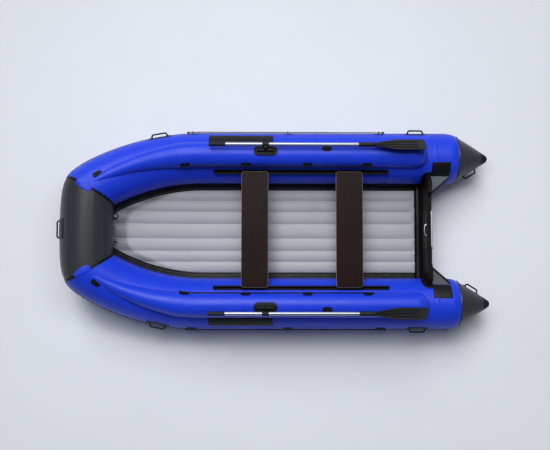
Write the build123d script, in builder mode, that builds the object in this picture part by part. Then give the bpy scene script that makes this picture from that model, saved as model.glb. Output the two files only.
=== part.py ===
from build123d import *
import math
import os

os.makedirs("parts", exist_ok=True)

# Inflatable boat with an inflatable floor, a hard transom, two sliding seats and two oars.
# Millimetres. +X to the bow, +Y to port, +Z up. z = 0 is the ground under the keel strips.

# Clearances
GLUE_GAP = 0.3          # between curved pieces that are bonded to each other
RUN_FIT = 0.1           # radial play of a pin in its bore
SLIDE_PLAY = 0.8        # play of a slider around its rail
YOKE_PLAY = 0.5         # play of the yoke between its lugs, at each end
ROPE_PLAY = 0.3         # between a rope and its eye

# Main side tubes
TUBE_R = 206.0
TUBE_Y = 597.0          # half the distance between the tube axes
TUBE_LIFT = 12.0        # underside of the tubes above the ground
BEND_X = 590.0          # where the tubes begin to curve inwards
MITRE_X = 1506.4        # where a side tube's axis meets the bow tube's axis
MITRE_Y = 312.0
BOW_TILT = 28.0         # slope of the plane the tube curves in: the bow rises with it
BOW_CURVE_R = 6000.0    # gentle curve of the bow tube across the boat
BOW_SPAN_HALF = 560.0   # half length of the bow tube before its mitres are cut
SIDE_OVERRUN = 420.0    # length of a side tube beyond its mitre before it is cut
TAPER_X = -1410.0       # the tube starts to narrow here
CONE_X = -1482.0        # seam between tube and tail cone
CONE_BASE_R = 184.0
CONE_TIP_X = -1753.0
CONE_NOSE_R = 34.0

# Upper chamber along the top of each side tube
CHAMBER_R = 100.0
CHAMBER_PROUD = 10.0    # height of its axis over the tube's top
CHAMBER_AFT_X = -1112.0
CHAMBER_NOSE_R = 24.0   # radius at its front end, which lies just under the tube's skin
CHAMBER_NOSE_SINK = 2.0
CHAMBER_TAPER = [0.18, 0.44, 0.70, 0.96]    # shares of the bend: it narrows from the first to the last

# Floor and bottom
FLOOR_CELLS = [(0.0, 122.0), (112.5, 103.0), (209.0, 90.0), (299.0, 90.0)]  # centre y, width
FLOOR_Z = 118.0         # height of the seams between the cells
CELL_CROWN = 11.0
FLOOR_MID_Z = 62.0      # level where the floor meets the bottom skin
BOTTOM_Z = 14.0
FLOOR_AFT_X = -1165.0
FLOOR_FWD_X = 1492.0    # the floor and the bottom run on to here, inside the bow tube
FLOOR_RISE_R = 2600.0   # curve of the floor up towards the bow
BULGE_W = 120.0
BULGE_H = 9.0
BAND_W = 67.0           # dark band between the floor and each tube
BAND_RISE = 30.0
BAND_MEET = 12.0        # inner ends of the bands from the middle of the boat
KEEL_ROWS = [-200.0, 0.0, 200.0]
KEEL_W = 44.0
KEEL_FOOT_W = 24.0
KEEL_BEVEL = 10.0
KEEL_X0 = -1150.0
KEEL_L = 1700.0

# Transom
TRANSOM_X = -1216.0     # forward face
TRANSOM_T = 34.0
TRANSOM_TOP = 392.0
TRANSOM_SHOULDER = 424.0
TRANSOM_NOTCH_W = 520.0
TRANSOM_TOP_Y = 392.0
TRANSOM_SLOPE_W = 40.0  # width of the slopes beside the notch
TRANSOM_EAR_W = 34.0    # slopes outboard of the shoulders
TRANSOM_EAR_H = 40.0
TRANSOM_FOOT = 26.0     # its lower edge above the ground
TRANSOM_EDGE_R = 5.0
DRAIN_Y = 262.0
DRAIN_Z = 84.0
DRAIN_R = 11.0
DRAIN_WALL = 4.0
DRAIN_RIM = 10.0
DRAIN_RIM_T = 5.0
PAD_W = 296.0
PAD_H = 150.0
PAD_T = 5.0
PAD_CORNER_R = 15.0
PLATE_W = 318.0
PLATE_H = 190.0
PLATE_T = 4.0
KNEE_Z = 340.0
KNEE_T = 9.0
KNEE_L = 150.0
KNEE_IN_Y = 300.0
KNEE_OUT_Y = 428.0
PATCH_L = 152.0
PATCH_T = 2.0
PATCH_BACK = 6.0        # gap between the transom and the patch
PATCH_ANGLES = (-50.0, -15.0)

# Seats and their rails
SEAT_L = 214.0
SEAT_T = 13.0
SEAT_PAST = 11.7        # board end outboard of the rail's bead
SEAT_STAND = 16.3       # underside of the boards above the bead
SEAT_CORNER_R = 22.0
SEAT_EDGE_R = 3.0
SEAT_X = {"front": 168.0, "rear": -586.0}
RAIL_X0 = -905.0
RAIL_X1 = 500.0
RAIL_ANGLE = 39.5       # place of the rail around the tube, inboard of its top
RAIL_BEAD_R = 7.0
RAIL_STAND = 23.0       # bead axis above the tube's skin
RAIL_WEB_T = 3.0
RAIL_STRAP_W = 41.0
RAIL_STRAP_T = 2.2
SLIDER_AT = 68.0        # sliders fore and aft of the board's middle
SLIDER_L = 56.0
SLIDER_W = 26.0
SLIDER_BACK = 1.7       # slider inboard of the board's end
SLIDER_WALL = 3.2

# Rowlocks
ROWLOCK_X = 82.0
BASE_L = 186.0
BASE_W = 78.0
BASE_T = 5.7
BASE_SPREAD = 26.0      # degrees around the chamber, either way from the bar
BAR_R = 6.0
BAR_ANGLE = 8.0         # place of the hinge bar around the chamber, outboard of its top
BAR_LIFT = 20.0         # bar axis above the chamber's skin
LUG_AT = 57.0
LUG_T = 13.0
LUG_R = 11.0
LUG_FOOT = 36.3
LUG_SLOPE = 65.0
BOSS_AT = 76.0          # round bosses at the ends of the base
BOSS_R = 11.0
BOSS_H = 5.0
SLEEVE_WALL = 4.5
STEM_LEAN = 22.0
STEM_R = 6.0
STEM_TOP = 50.0
STEM_HEAD_R = 10.0
STEM_HEAD_T = 4.0
CLAMP_WALL = 5.0
CLAMP_GAP = 1.0         # between the collar and the sleeve below it
CLAMP_ARM_W = 24.0
CLAMP_ARM_T = 14.0
BAND_L = 52.0

# Oars
OAR_R = 15.0
OAR_OFF = 60.0          # oar axis outboard of the upper chamber's axis
OAR_UP = 140.0          # oar axis above the upper chamber's axis
GRIP_X1 = 526.0
GRIP_L = 132.0
GRIP_R = 17.5
GRIP_END = 8.0
GRIP_BEVEL = 3.5
BLADE_X0 = -642.0
BLADE_L = 528.0
BLADE_W = 150.0
BLADE_NECK_L = 120.0
BLADE_T = 7.0
BLADE_TIP_W = 96.0
BLADE_LEAN = 50.0
BLADE_WIDE_AT = 300.0   # where the blade reaches its full width
BLADE_TIP_BEVEL = 16.0
BLADE_CORNER_R = 14.0
RIB_W = 8.0
RIB_H = 3.5
RIB_GAP = 40.0
RIB_X0 = 90.0
RIB_WIDE_AT = 317.0
RIB_X1 = 468.0
SOCKET_WALL = 3.0
SOCKET_CONE_L = 108.0
SOCKET_TIP_R = 5.0

# Ropes, eyes and rings
ROPE_R = 4.0
EYE_L = 78.0
EYE_W = 46.0
EYE_T = 2.6
EYE_LIFT = 11.5         # rope axis above the skin
EYE_WALL = 5.6
EYE_LUG_T = 6.0         # thickness of the lug along the rope
INNER_EYES_X = [725.0, 237.0, -249.0, -722.0]
OUTER_EYES_X = [669.0, -100.0, -846.0]
INNER_EYE_ANGLE = -62.0
OUTER_EYE_ANGLE = 72.0
BOW_EYE_X = 1424.0
BOW_EYE_ANGLE = 14.0
ROPE_END = 40.0         # rope beyond its last eye
REST_X = -400.0         # rests under the oar shafts
REST_ANGLE = 20.0
REST_RING_R = 7.0
REST_WALL = 4.4

# Handles, strakes, panels and valves
STRAKE_W = 60.0
STRAKE_T = 6.0
STRAKE_ANGLE = 94.0
HANDLE_SPAN = 136.0
BOW_HANDLE_SPAN = 150.0
CONE_HANDLE_SPAN = 120.0
HANDLE_PROUD = 26.0
HANDLE_R = 6.5
HANDLE_FOOT_R = 17.0
HANDLE_FOOT_T = 3.5
HANDLE_SHOULDER = 14.0
HANDLE_CORNER_R = 12.0
HANDLE_X = [915.0, -1147.0]
HANDLE_ANGLE = 76.0
PANEL_X0 = 20.0
PANEL_L = 520.0
PANEL_T = 1.2
PANEL_W = 93.5
PANEL_GAP = 9.8         # between the foot of the upper chamber and the panel
FLOOR_VALVES = [(13.5, -118.0), (7.5, 96.0)]        # forward of the bow tube's aft side, y
FLOOR_VALVE_R = 25.0
TUBE_VALVES_X = [-900.0]
TUBE_VALVE_R = 24.0
VALVE_T = 16.0          # most of a floor valve's body is inside the floor
TUBE_VALVE_T = 8.0
VALVE_CAP_R = 16.0
VALVE_CAP_T = 6.0

TUBE_Z = TUBE_R + TUBE_LIFT
CHAMBER_RISE = TUBE_R + CHAMBER_PROUD
FLOOR_Y = FLOOR_CELLS[-1][0] + FLOOR_CELLS[-1][1] / 2
FLOOR_SWEEP = math.degrees(math.asin((FLOOR_FWD_X - BEND_X) / FLOOR_RISE_R))
TILT = math.radians(BOW_TILT)
DROP = (TUBE_Y - MITRE_Y) / math.cos(TILT)
BEND_ANGLE = 2.0 * math.atan2(DROP, MITRE_X - BEND_X)
BEND_R = (MITRE_X - BEND_X) / math.sin(BEND_ANGLE)
BOW_Z = TUBE_Z + DROP * math.sin(TILT)
BOW_X = MITRE_X + BOW_CURVE_R - math.sqrt(BOW_CURVE_R**2 - MITRE_Y**2)
CHAMBER_Z = TUBE_Z + CHAMBER_RISE
CHAMBER_DIP = CHAMBER_PROUD + CHAMBER_NOSE_R + CHAMBER_NOSE_SINK
CHAMBER_FOOT = math.degrees(
    math.acos((CHAMBER_RISE**2 + TUBE_R**2 - CHAMBER_R**2) / (2 * CHAMBER_RISE * TUBE_R))
)


def bend_plane(lift=0.0):
    """Sloping plane that a port side tube curves in, raised by lift."""
    return Plane(
        origin=(0, TUBE_Y, TUBE_Z + lift),
        x_dir=(1, 0, 0),
        z_dir=(0, -math.sin(TILT), -math.cos(TILT)),
    )


def bend_point(angle):
    """Point on the curved part of the path, in the bend plane, for a heading in radians."""
    return (BEND_X + BEND_R * math.sin(angle), BEND_R * (1.0 - math.cos(angle)))


def tube_axis(x):
    """Point of the port tube's axis above station x, with its heading in the plan."""
    if x <= BEND_X:
        return (x, TUBE_Y, TUBE_Z), 0.0
    angle = math.asin(min(1.0, (x - BEND_X) / BEND_R))
    inward = BEND_R * (1.0 - math.cos(angle))
    point = (x, TUBE_Y - inward * math.cos(TILT), TUBE_Z + inward * math.sin(TILT))
    return point, -math.degrees(math.atan(math.tan(angle) * math.cos(TILT)))


SIDE_HEADING = Vector(
    math.cos(BEND_ANGLE),
    -math.sin(BEND_ANGLE) * math.cos(TILT),
    math.sin(BEND_ANGLE) * math.sin(TILT),
)
BOW_TURN = math.asin(MITRE_Y / BOW_CURVE_R)
BOW_HEADING = Vector(math.sin(BOW_TURN), -math.cos(BOW_TURN), 0)
MITRE_POINT = Vector(MITRE_X, MITRE_Y, BOW_Z)
MITRE_PORT = Plane(origin=MITRE_POINT, z_dir=(SIDE_HEADING + BOW_HEADING).normalized())
MITRE_STARBOARD = Plane(
    origin=(MITRE_X, -MITRE_Y, BOW_Z),
    z_dir=(MITRE_PORT.z_dir.X, -MITRE_PORT.z_dir.Y, MITRE_PORT.z_dir.Z),
)


def side_sweep(radius, x_aft, lift=0.0):
    """Round port tube from x_aft, around its bend and straight on beyond the mitre."""
    centre = (BEND_X, TUBE_Y - BEND_R * math.cos(TILT), TUBE_Z + lift + BEND_R * math.sin(TILT))
    with BuildPart(mode=Mode.PRIVATE) as run:
        with BuildSketch(Plane.YZ.offset(x_aft)):
            with Locations((TUBE_Y, TUBE_Z + lift)):
                Circle(radius)
        extrude(amount=BEND_X - x_aft)
        with BuildSketch(Plane.YZ.offset(BEND_X)):
            with Locations((TUBE_Y, TUBE_Z + lift)):
                Circle(radius)
        revolve(
            axis=Axis(centre, (0, -math.sin(TILT), -math.cos(TILT))),
            revolution_arc=math.degrees(BEND_ANGLE),
        )
        end = MITRE_POINT + Vector(0, 0, lift)
        with BuildSketch(Plane(origin=end, x_dir=SIDE_HEADING.cross(Vector(0, 0, 1)), z_dir=SIDE_HEADING)):
            Circle(radius)
        extrude(amount=SIDE_OVERRUN)
    return run.part


def bow_sweep(radius):
    """Round bow tube, wider than the mitres on both sides."""
    turn = math.asin(BOW_SPAN_HALF / BOW_CURVE_R)
    centre = (BOW_X - BOW_CURVE_R, 0, BOW_Z)
    start = Plane(
        origin=centre,
        x_dir=(math.cos(turn), -math.sin(turn), 0),
        z_dir=(-math.sin(turn), -math.cos(turn), 0),
    )
    with BuildPart(mode=Mode.PRIVATE) as run:
        with BuildSketch(start):
            with Locations((BOW_CURVE_R, 0)):
                Circle(radius)
        revolve(axis=Axis(centre, (0, 0, 1)), revolution_arc=math.degrees(2 * turn))
    return run.part


def well():
    """Room between the axes of the tubes, as seen from above, that the floor and the bottom keep to."""
    mid = bend_plane().from_local_coords(Vector(*bend_point(BEND_ANGLE / 2), 0))
    with BuildPart(mode=Mode.PRIVATE) as room:
        with BuildSketch():
            with BuildLine():
                aft_x = TRANSOM_X - TRANSOM_T
                Polyline((BEND_X, -TUBE_Y), (aft_x, -TUBE_Y), (aft_x, TUBE_Y), (BEND_X, TUBE_Y))
                ThreePointArc((BEND_X, TUBE_Y), (mid.X, mid.Y), (MITRE_X, MITRE_Y))
                ThreePointArc((MITRE_X, MITRE_Y), (BOW_X, 0), (MITRE_X, -MITRE_Y))
                ThreePointArc((MITRE_X, -MITRE_Y), (mid.X, -mid.Y), (BEND_X, -TUBE_Y))
            make_face()
        extrude(amount=BOW_Z)
    return room.part


# Side tubes: long round air chambers, each mitred into the bow tube
with BuildPart() as side_tube_port:
    add(side_sweep(TUBE_R, TAPER_X))
    split(bisect_by=MITRE_PORT, keep=Keep.BOTTOM)
    with BuildSketch(Plane.XZ.offset(-TUBE_Y)):
        with BuildLine():
            Polyline(
                (CONE_X, TUBE_Z),
                (CONE_X, TUBE_Z + CONE_BASE_R),
                (TAPER_X, TUBE_Z + TUBE_R),
                (TAPER_X, TUBE_Z),
                close=True,
            )
        make_face()
    revolve(axis=Axis((0, TUBE_Y, TUBE_Z), (1, 0, 0)))

with BuildPart() as side_tube_starboard:
    mirror(side_tube_port.part, about=Plane.XZ)

# Bow tube: the dark cross tube between the two mitres
with BuildPart() as bow_tube:
    add(bow_sweep(TUBE_R))
    split(bisect_by=MITRE_PORT, keep=Keep.TOP)
    split(bisect_by=MITRE_STARBOARD, keep=Keep.TOP)

# Tail cones: round-nosed cones that close the tubes behind the transom
with BuildPart() as stern_cone_port:
    slope = math.atan2(CONE_BASE_R - CONE_NOSE_R, CONE_X - CONE_TIP_X - CONE_NOSE_R)
    nose_x = CONE_TIP_X + CONE_NOSE_R
    touch = (nose_x - CONE_NOSE_R * math.sin(slope), TUBE_Z + CONE_NOSE_R * math.cos(slope))
    half = slope + (math.pi / 2 - slope) / 2
    nose_mid = (nose_x - CONE_NOSE_R * math.sin(half), TUBE_Z + CONE_NOSE_R * math.cos(half))
    with BuildSketch(Plane.XZ.offset(-TUBE_Y)):
        with BuildLine():
            Line((CONE_TIP_X, TUBE_Z), (CONE_X, TUBE_Z))
            Line((CONE_X, TUBE_Z), (CONE_X, TUBE_Z + CONE_BASE_R))
            Line((CONE_X, TUBE_Z + CONE_BASE_R), touch)
            ThreePointArc(touch, nose_mid, (CONE_TIP_X, TUBE_Z))
        make_face()
    revolve(axis=Axis((0, TUBE_Y, TUBE_Z), (1, 0, 0)))

with BuildPart() as stern_cone_starboard:
    mirror(stern_cone_port.part, about=Plane.XZ)

# Upper chambers: slimmer tubes on top of the side tubes, rounded aft and dipping in at the bow
with BuildPart() as top_chamber_port:
    taper_from = BEND_ANGLE * CHAMBER_TAPER[0]
    with BuildSketch(Plane.YZ.offset(CHAMBER_AFT_X)):
        with Locations((TUBE_Y, CHAMBER_Z)):
            Circle(CHAMBER_R)
    extrude(amount=BEND_X - CHAMBER_AFT_X)
    with BuildSketch(Plane.YZ.offset(BEND_X)):
        with Locations((TUBE_Y, CHAMBER_Z)):
            Circle(CHAMBER_R)
    revolve(
        axis=Axis(
            (BEND_X, TUBE_Y - BEND_R * math.cos(TILT), CHAMBER_Z + BEND_R * math.sin(TILT)),
            (0, -math.sin(TILT), -math.cos(TILT)),
        ),
        revolution_arc=math.degrees(taper_from),
    )
    with Locations((CHAMBER_AFT_X, TUBE_Y, CHAMBER_Z)):
        Sphere(CHAMBER_R)
    for share in CHAMBER_TAPER:
        done = (share - CHAMBER_TAPER[0]) / (CHAMBER_TAPER[-1] - CHAMBER_TAPER[0])
        bend = BEND_ANGLE * share
        heading = Vector(math.cos(bend), -math.sin(bend) * math.cos(TILT), math.sin(bend) * math.sin(TILT))
        at = bend_plane(CHAMBER_RISE - done * CHAMBER_DIP).from_local_coords(Vector(*bend_point(bend), 0))
        with BuildSketch(Plane(origin=at, x_dir=heading.cross(Vector(0, 0, 1)), z_dir=heading)):
            Circle(CHAMBER_R + done * (CHAMBER_NOSE_R - CHAMBER_R))
    loft()
    add(side_sweep(TUBE_R + GLUE_GAP, TAPER_X), mode=Mode.SUBTRACT)
    split(bisect_by=MITRE_PORT, keep=Keep.BOTTOM)

with BuildPart() as top_chamber_starboard:
    mirror(top_chamber_port.part, about=Plane.XZ)


def around(centre, radius, angle):
    """Point of a cross-section at an angle from the top, positive outboard on the port side."""
    turn = math.radians(angle)
    return (centre[0] + radius * math.sin(turn), centre[1] + radius * math.cos(turn))


TUBE_C = (TUBE_Y, TUBE_Z)
CHAMBER_C = (TUBE_Y, CHAMBER_Z)


def sector(centre, r_in, r_out, angle_a, angle_b):
    """Cross-section of a sheet bonded around a tube."""
    mid = (angle_a + angle_b) / 2
    with BuildSketch(Plane.YZ) as section:
        with BuildLine():
            ThreePointArc(*(around(centre, r_in, a) for a in (angle_a, mid, angle_b)))
            Line(around(centre, r_in, angle_b), around(centre, r_out, angle_b))
            ThreePointArc(*(around(centre, r_out, a) for a in (angle_b, mid, angle_a)))
            Line(around(centre, r_out, angle_a), around(centre, r_in, angle_a))
        make_face()
    return section.sketch


def along_tube(profile, x_aft, bend):
    """Solid of a cross-section that follows the port tube from x_aft through bend radians."""
    centre = (BEND_X, TUBE_Y - BEND_R * math.cos(TILT), TUBE_Z + BEND_R * math.sin(TILT))
    with BuildPart(mode=Mode.PRIVATE) as run:
        extrude(Pos(x_aft, 0, 0) * profile, amount=BEND_X - x_aft, dir=(1, 0, 0))
        revolve(
            Pos(BEND_X, 0, 0) * profile,
            axis=Axis(centre, (0, -math.sin(TILT), -math.cos(TILT))),
            revolution_arc=math.degrees(bend),
        )
    return run.part


def lie_of_floor(profile, x_aft):
    """Solid of a floor profile: level from x_aft, then curving up to the bow."""
    with BuildPart(mode=Mode.PRIVATE) as lie:
        extrude(Pos(x_aft, 0, 0) * profile, amount=BEND_X - x_aft, dir=(1, 0, 0))
        revolve(
            Pos(BEND_X, 0, 0) * profile,
            axis=Axis((BEND_X, 0, FLOOR_Z + FLOOR_RISE_R), (0, -1, 0)),
            revolution_arc=FLOOR_SWEEP,
        )
    return lie.part


# Air floor: seven lengthwise cells side by side, crowned between their seams
with BuildPart() as air_floor:
    with BuildSketch(Plane.YZ) as floor_profile:
        side_y = TUBE_Y - TUBE_R
        with BuildLine():
            Polyline(
                (FLOOR_Y, FLOOR_Z),
                (side_y, FLOOR_Z + BAND_RISE),
                (side_y, FLOOR_MID_Z),
                (-side_y, FLOOR_MID_Z),
                (-side_y, FLOOR_Z + BAND_RISE),
                (-FLOOR_Y, FLOOR_Z),
            )
            for side, cells in ((-1, FLOOR_CELLS[:0:-1]), (1, FLOOR_CELLS)):
                for centre, width in cells:
                    mid = side * centre
                    ThreePointArc(
                        (mid - width / 2, FLOOR_Z), (mid, FLOOR_Z + CELL_CROWN), (mid + width / 2, FLOOR_Z)
                    )
        make_face()
    add(lie_of_floor(floor_profile.sketch, FLOOR_AFT_X))
    add(well(), mode=Mode.INTERSECT)
    add(side_sweep(TUBE_R + BAND_W, TAPER_X), mode=Mode.SUBTRACT)
    add(mirror(side_sweep(TUBE_R + BAND_W, TAPER_X), about=Plane.XZ, mode=Mode.PRIVATE), mode=Mode.SUBTRACT)
    add(bow_sweep(TUBE_R + GLUE_GAP), mode=Mode.SUBTRACT)

# Bottom skin: the dark underside, with shallow lengthwise bulges
with BuildPart() as hull_bottom:
    with BuildSketch(Plane.YZ) as bottom_profile:
        with BuildLine():
            Polyline(
                (-4 * BULGE_W, BOTTOM_Z + BULGE_H),
                (-4 * BULGE_W, FLOOR_MID_Z),
                (4 * BULGE_W, FLOOR_MID_Z),
                (4 * BULGE_W, BOTTOM_Z + BULGE_H),
            )
            for index in range(8):
                left = (index - 4) * BULGE_W
                right = left + BULGE_W
                mid = (left + right) / 2
                ThreePointArc((left, BOTTOM_Z + BULGE_H), (mid, BOTTOM_Z), (right, BOTTOM_Z + BULGE_H))
        make_face()
    add(lie_of_floor(bottom_profile.sketch, TRANSOM_X))
    add(well(), mode=Mode.INTERSECT)
    add(side_sweep(TUBE_R + GLUE_GAP, TAPER_X), mode=Mode.SUBTRACT)
    add(mirror(side_sweep(TUBE_R + GLUE_GAP, TAPER_X), about=Plane.XZ, mode=Mode.PRIVATE), mode=Mode.SUBTRACT)
    add(bow_sweep(TUBE_R + GLUE_GAP), mode=Mode.SUBTRACT)

# Keel strips: three rubbing strips under the bottom that the boat stands on
with BuildPart() as keel_strips:
    for row in KEEL_ROWS:
        top = BOTTOM_Z + BULGE_H + 1
        with BuildSketch(Plane(origin=(KEEL_X0, row, 0), x_dir=(0, 1, 0), z_dir=(1, 0, 0))):
            with BuildLine():
                Polyline(
                    (-KEEL_W / 2, top), (-KEEL_W / 2, KEEL_BEVEL), (-KEEL_FOOT_W / 2, 0),
                    (KEEL_FOOT_W / 2, 0), (KEEL_W / 2, KEEL_BEVEL), (KEEL_W / 2, top), close=True,
                )
            make_face()
        extrude(amount=KEEL_L)
    add(hull_bottom.part, mode=Mode.SUBTRACT)

# Floor edges: dark bands that join the floor to the side tubes
with BuildPart() as floor_edge_port:
    with BuildSketch(Plane.YZ) as edge_profile:
        with BuildLine():
            Polyline(
                (FLOOR_Y - BAND_W, FLOOR_MID_Z), (FLOOR_Y - BAND_W, FLOOR_Z), (FLOOR_Y, FLOOR_Z),
                (side_y, FLOOR_Z + BAND_RISE), (TUBE_Y - TUBE_R / 2, FLOOR_Z + BAND_RISE),
                (TUBE_Y - TUBE_R / 2, FLOOR_MID_Z), close=True,
            )
        make_face()
    add(lie_of_floor(edge_profile.sketch, FLOOR_AFT_X))
    add(side_sweep(TUBE_R + BAND_W - GLUE_GAP, TAPER_X), mode=Mode.INTERSECT)
    add(side_sweep(TUBE_R + GLUE_GAP, TAPER_X), mode=Mode.SUBTRACT)
    add(bow_sweep(TUBE_R + GLUE_GAP), mode=Mode.SUBTRACT)
    split(bisect_by=Plane.XZ.offset(-BAND_MEET), keep=Keep.BOTTOM)

with BuildPart() as floor_edge_starboard:
    mirror(floor_edge_port.part, about=Plane.XZ)

# Transom: the plywood board between the tubes that carries a motor, lower in the middle
with BuildPart() as transom:
    with BuildSketch(Plane.YZ.offset(TRANSOM_X - TRANSOM_T)):
        with BuildLine():
            outline = [
                (TRANSOM_NOTCH_W / 2, TRANSOM_TOP), (TRANSOM_NOTCH_W / 2 + TRANSOM_SLOPE_W, TRANSOM_SHOULDER),
                (TRANSOM_TOP_Y, TRANSOM_SHOULDER),
                (TRANSOM_TOP_Y + TRANSOM_EAR_W, TRANSOM_SHOULDER - TRANSOM_EAR_H),
                (TUBE_Y, TUBE_Z), (TUBE_Y - TUBE_R / 2, TRANSOM_FOOT),
            ]
            Polyline(*outline, *((-y, z) for y, z in reversed(outline)), close=True)
        make_face()
        with Locations((TUBE_Y, TUBE_Z), (-TUBE_Y, TUBE_Z)):
            Circle(TUBE_R + GLUE_GAP, mode=Mode.SUBTRACT)
    extrude(amount=TRANSOM_T)
    top_faces = transom.faces().filter_by(lambda face: face.center().Z > TRANSOM_TOP - 1)
    top_edges = top_faces.edges().filter_by(
        lambda edge: abs(edge.center().X - TRANSOM_X + TRANSOM_T / 2) > TRANSOM_T / 2 - 1
    )
    fillet(top_edges, TRANSOM_EDGE_R)
    with Locations(Plane.YZ.offset(TRANSOM_X)):
        with Locations((DRAIN_Y, DRAIN_Z)):
            Hole(DRAIN_R + DRAIN_WALL + RUN_FIT, depth=TRANSOM_T)

# Motor pads: a plastic pad inside and a metal plate outside, where the motor's clamps bite
with BuildPart() as motor_pad_inner:
    with BuildSketch(Plane.YZ.offset(TRANSOM_X)):
        with Locations((0, TRANSOM_TOP - TRANSOM_EDGE_R - PAD_H / 2)):
            RectangleRounded(PAD_W, PAD_H, PAD_CORNER_R)
    extrude(amount=PAD_T)

with BuildPart() as motor_plate_outer:
    with BuildSketch(Plane.YZ.offset(TRANSOM_X - TRANSOM_T - PLATE_T)):
        with Locations((0, TRANSOM_TOP - TRANSOM_EDGE_R - PLATE_H / 2)):
            RectangleRounded(PLATE_W, PLATE_H, PAD_CORNER_R)
    extrude(amount=PLATE_T)

# Drain: a flanged sleeve through the transom
with BuildPart() as drain_valve:
    drain_l = TRANSOM_T + DRAIN_RIM_T
    with Locations(Plane.YZ.offset(TRANSOM_X - drain_l)):
        with Locations((DRAIN_Y, DRAIN_Z, drain_l / 2)):
            Cylinder(DRAIN_R + DRAIN_WALL, drain_l)
        with Locations((DRAIN_Y, DRAIN_Z, DRAIN_RIM_T / 2)):
            Cylinder(DRAIN_R + DRAIN_WALL + DRAIN_RIM, DRAIN_RIM_T)
        with Locations((DRAIN_Y, DRAIN_Z, drain_l / 2)):
            Cylinder(DRAIN_R, 2 * drain_l, mode=Mode.SUBTRACT)

# Knees: triangular webs between the transom's aft face and the tubes
with BuildPart() as transom_knee_port:
    with BuildSketch(Plane.XY.offset(KNEE_Z)):
        with BuildLine():
            aft_face = TRANSOM_X - TRANSOM_T
            under_tube = TUBE_Y - TUBE_R / 2
            Polyline(
                (aft_face, KNEE_IN_Y), (aft_face, under_tube), (aft_face - KNEE_L, under_tube),
                (aft_face - KNEE_L, KNEE_OUT_Y), close=True,
            )
        make_face()
    extrude(amount=KNEE_T)
    add(side_sweep(TUBE_R + GLUE_GAP, TAPER_X), mode=Mode.SUBTRACT)

with BuildPart() as transom_knee_starboard:
    mirror(transom_knee_port.part, about=Plane.XZ)

# Patches that reinforce the tubes over the knees
with BuildPart() as transom_patch_port:
    extrude(
        Pos(TRANSOM_X - TRANSOM_T - PATCH_BACK - PATCH_L, 0, 0)
        * sector(TUBE_C, TUBE_R + GLUE_GAP, TUBE_R + GLUE_GAP + PATCH_T, *PATCH_ANGLES),
        amount=PATCH_L, dir=(1, 0, 0),
    )

with BuildPart() as transom_patch_starboard:
    mirror(transom_patch_port.part, about=Plane.XZ)

# Seat rails: a strap bonded to the tube with a web and a round bead
with BuildPart() as seat_rail_port:
    bead = around(TUBE_C, TUBE_R + RAIL_STAND, -RAIL_ANGLE)
    web_mid = Location((*around(TUBE_C, TUBE_R + RAIL_STAND / 2, -RAIL_ANGLE), 0), (0, 0, RAIL_ANGLE))
    strap_half = math.degrees(RAIL_STRAP_W / 2 / TUBE_R)
    with BuildSketch(Plane.YZ) as rail_profile:
        with Locations(web_mid):
            Rectangle(RAIL_WEB_T, RAIL_STAND)
        with Locations(bead):
            Circle(RAIL_BEAD_R)
        with Locations(TUBE_C):
            Circle(TUBE_R + GLUE_GAP, mode=Mode.SUBTRACT)
    extrude(Pos(RAIL_X0, 0, 0) * rail_profile.sketch, amount=RAIL_X1 - RAIL_X0, dir=(1, 0, 0))
    extrude(
        Pos(RAIL_X0, 0, 0)
        * sector(
            TUBE_C, TUBE_R + GLUE_GAP, TUBE_R + GLUE_GAP + RAIL_STRAP_T,
            -RAIL_ANGLE - strap_half, -RAIL_ANGLE + strap_half,
        ),
        amount=RAIL_X1 - RAIL_X0, dir=(1, 0, 0),
    )

with BuildPart() as seat_rail_starboard:
    mirror(seat_rail_port.part, about=Plane.XZ)


SEAT_Z = bead[1] + SEAT_STAND
SEAT_HALF_W = bead[0] + SEAT_PAST


def seat_board(x):
    """Plywood board with rounded corners and edges, resting on its sliders."""
    with BuildPart(mode=Mode.PRIVATE) as board:
        with BuildSketch(Plane.XY.offset(SEAT_Z)):
            with Locations((x, 0)):
                RectangleRounded(SEAT_L, 2 * SEAT_HALF_W, SEAT_CORNER_R)
        extrude(amount=SEAT_T)
        fillet(board.faces().sort_by(Axis.Z)[-1].edges(), SEAT_EDGE_R)
    return board.part


def seat_sliders(x):
    """Two sliders a side, each a block under the board that grips the rail's bead."""
    with BuildPart(mode=Mode.PRIVATE) as sliders:
        with BuildSketch(Plane.YZ) as grip_profile:
            with Locations((bead[0] + SEAT_PAST - SLIDER_W / 2 - SLIDER_BACK, (SEAT_Z + bead[1]) / 2)):
                Rectangle(SLIDER_W, SEAT_Z - bead[1])
            with Locations(bead):
                Circle(RAIL_BEAD_R + SLIDE_PLAY + SLIDER_WALL)
                Circle(RAIL_BEAD_R + SLIDE_PLAY, mode=Mode.SUBTRACT)
            with Locations(web_mid):
                Rectangle(RAIL_WEB_T + 2 * SLIDE_PLAY, RAIL_STAND, mode=Mode.SUBTRACT)
        for offset in (-SLIDER_AT, SLIDER_AT):
            aft = x + offset - SLIDER_L / 2
            extrude(Pos(aft, 0, 0) * grip_profile.sketch, amount=SLIDER_L, dir=(1, 0, 0))
        mirror(sliders.part, about=Plane.XZ)
    return sliders.part


with BuildPart() as seat_front:
    add(seat_board(SEAT_X["front"]))

with BuildPart() as seat_rear:
    add(seat_board(SEAT_X["rear"]))

with BuildPart() as seat_front_sliders:
    add(seat_sliders(SEAT_X["front"]))

with BuildPart() as seat_rear_sliders:
    add(seat_sliders(SEAT_X["rear"]))

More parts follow.
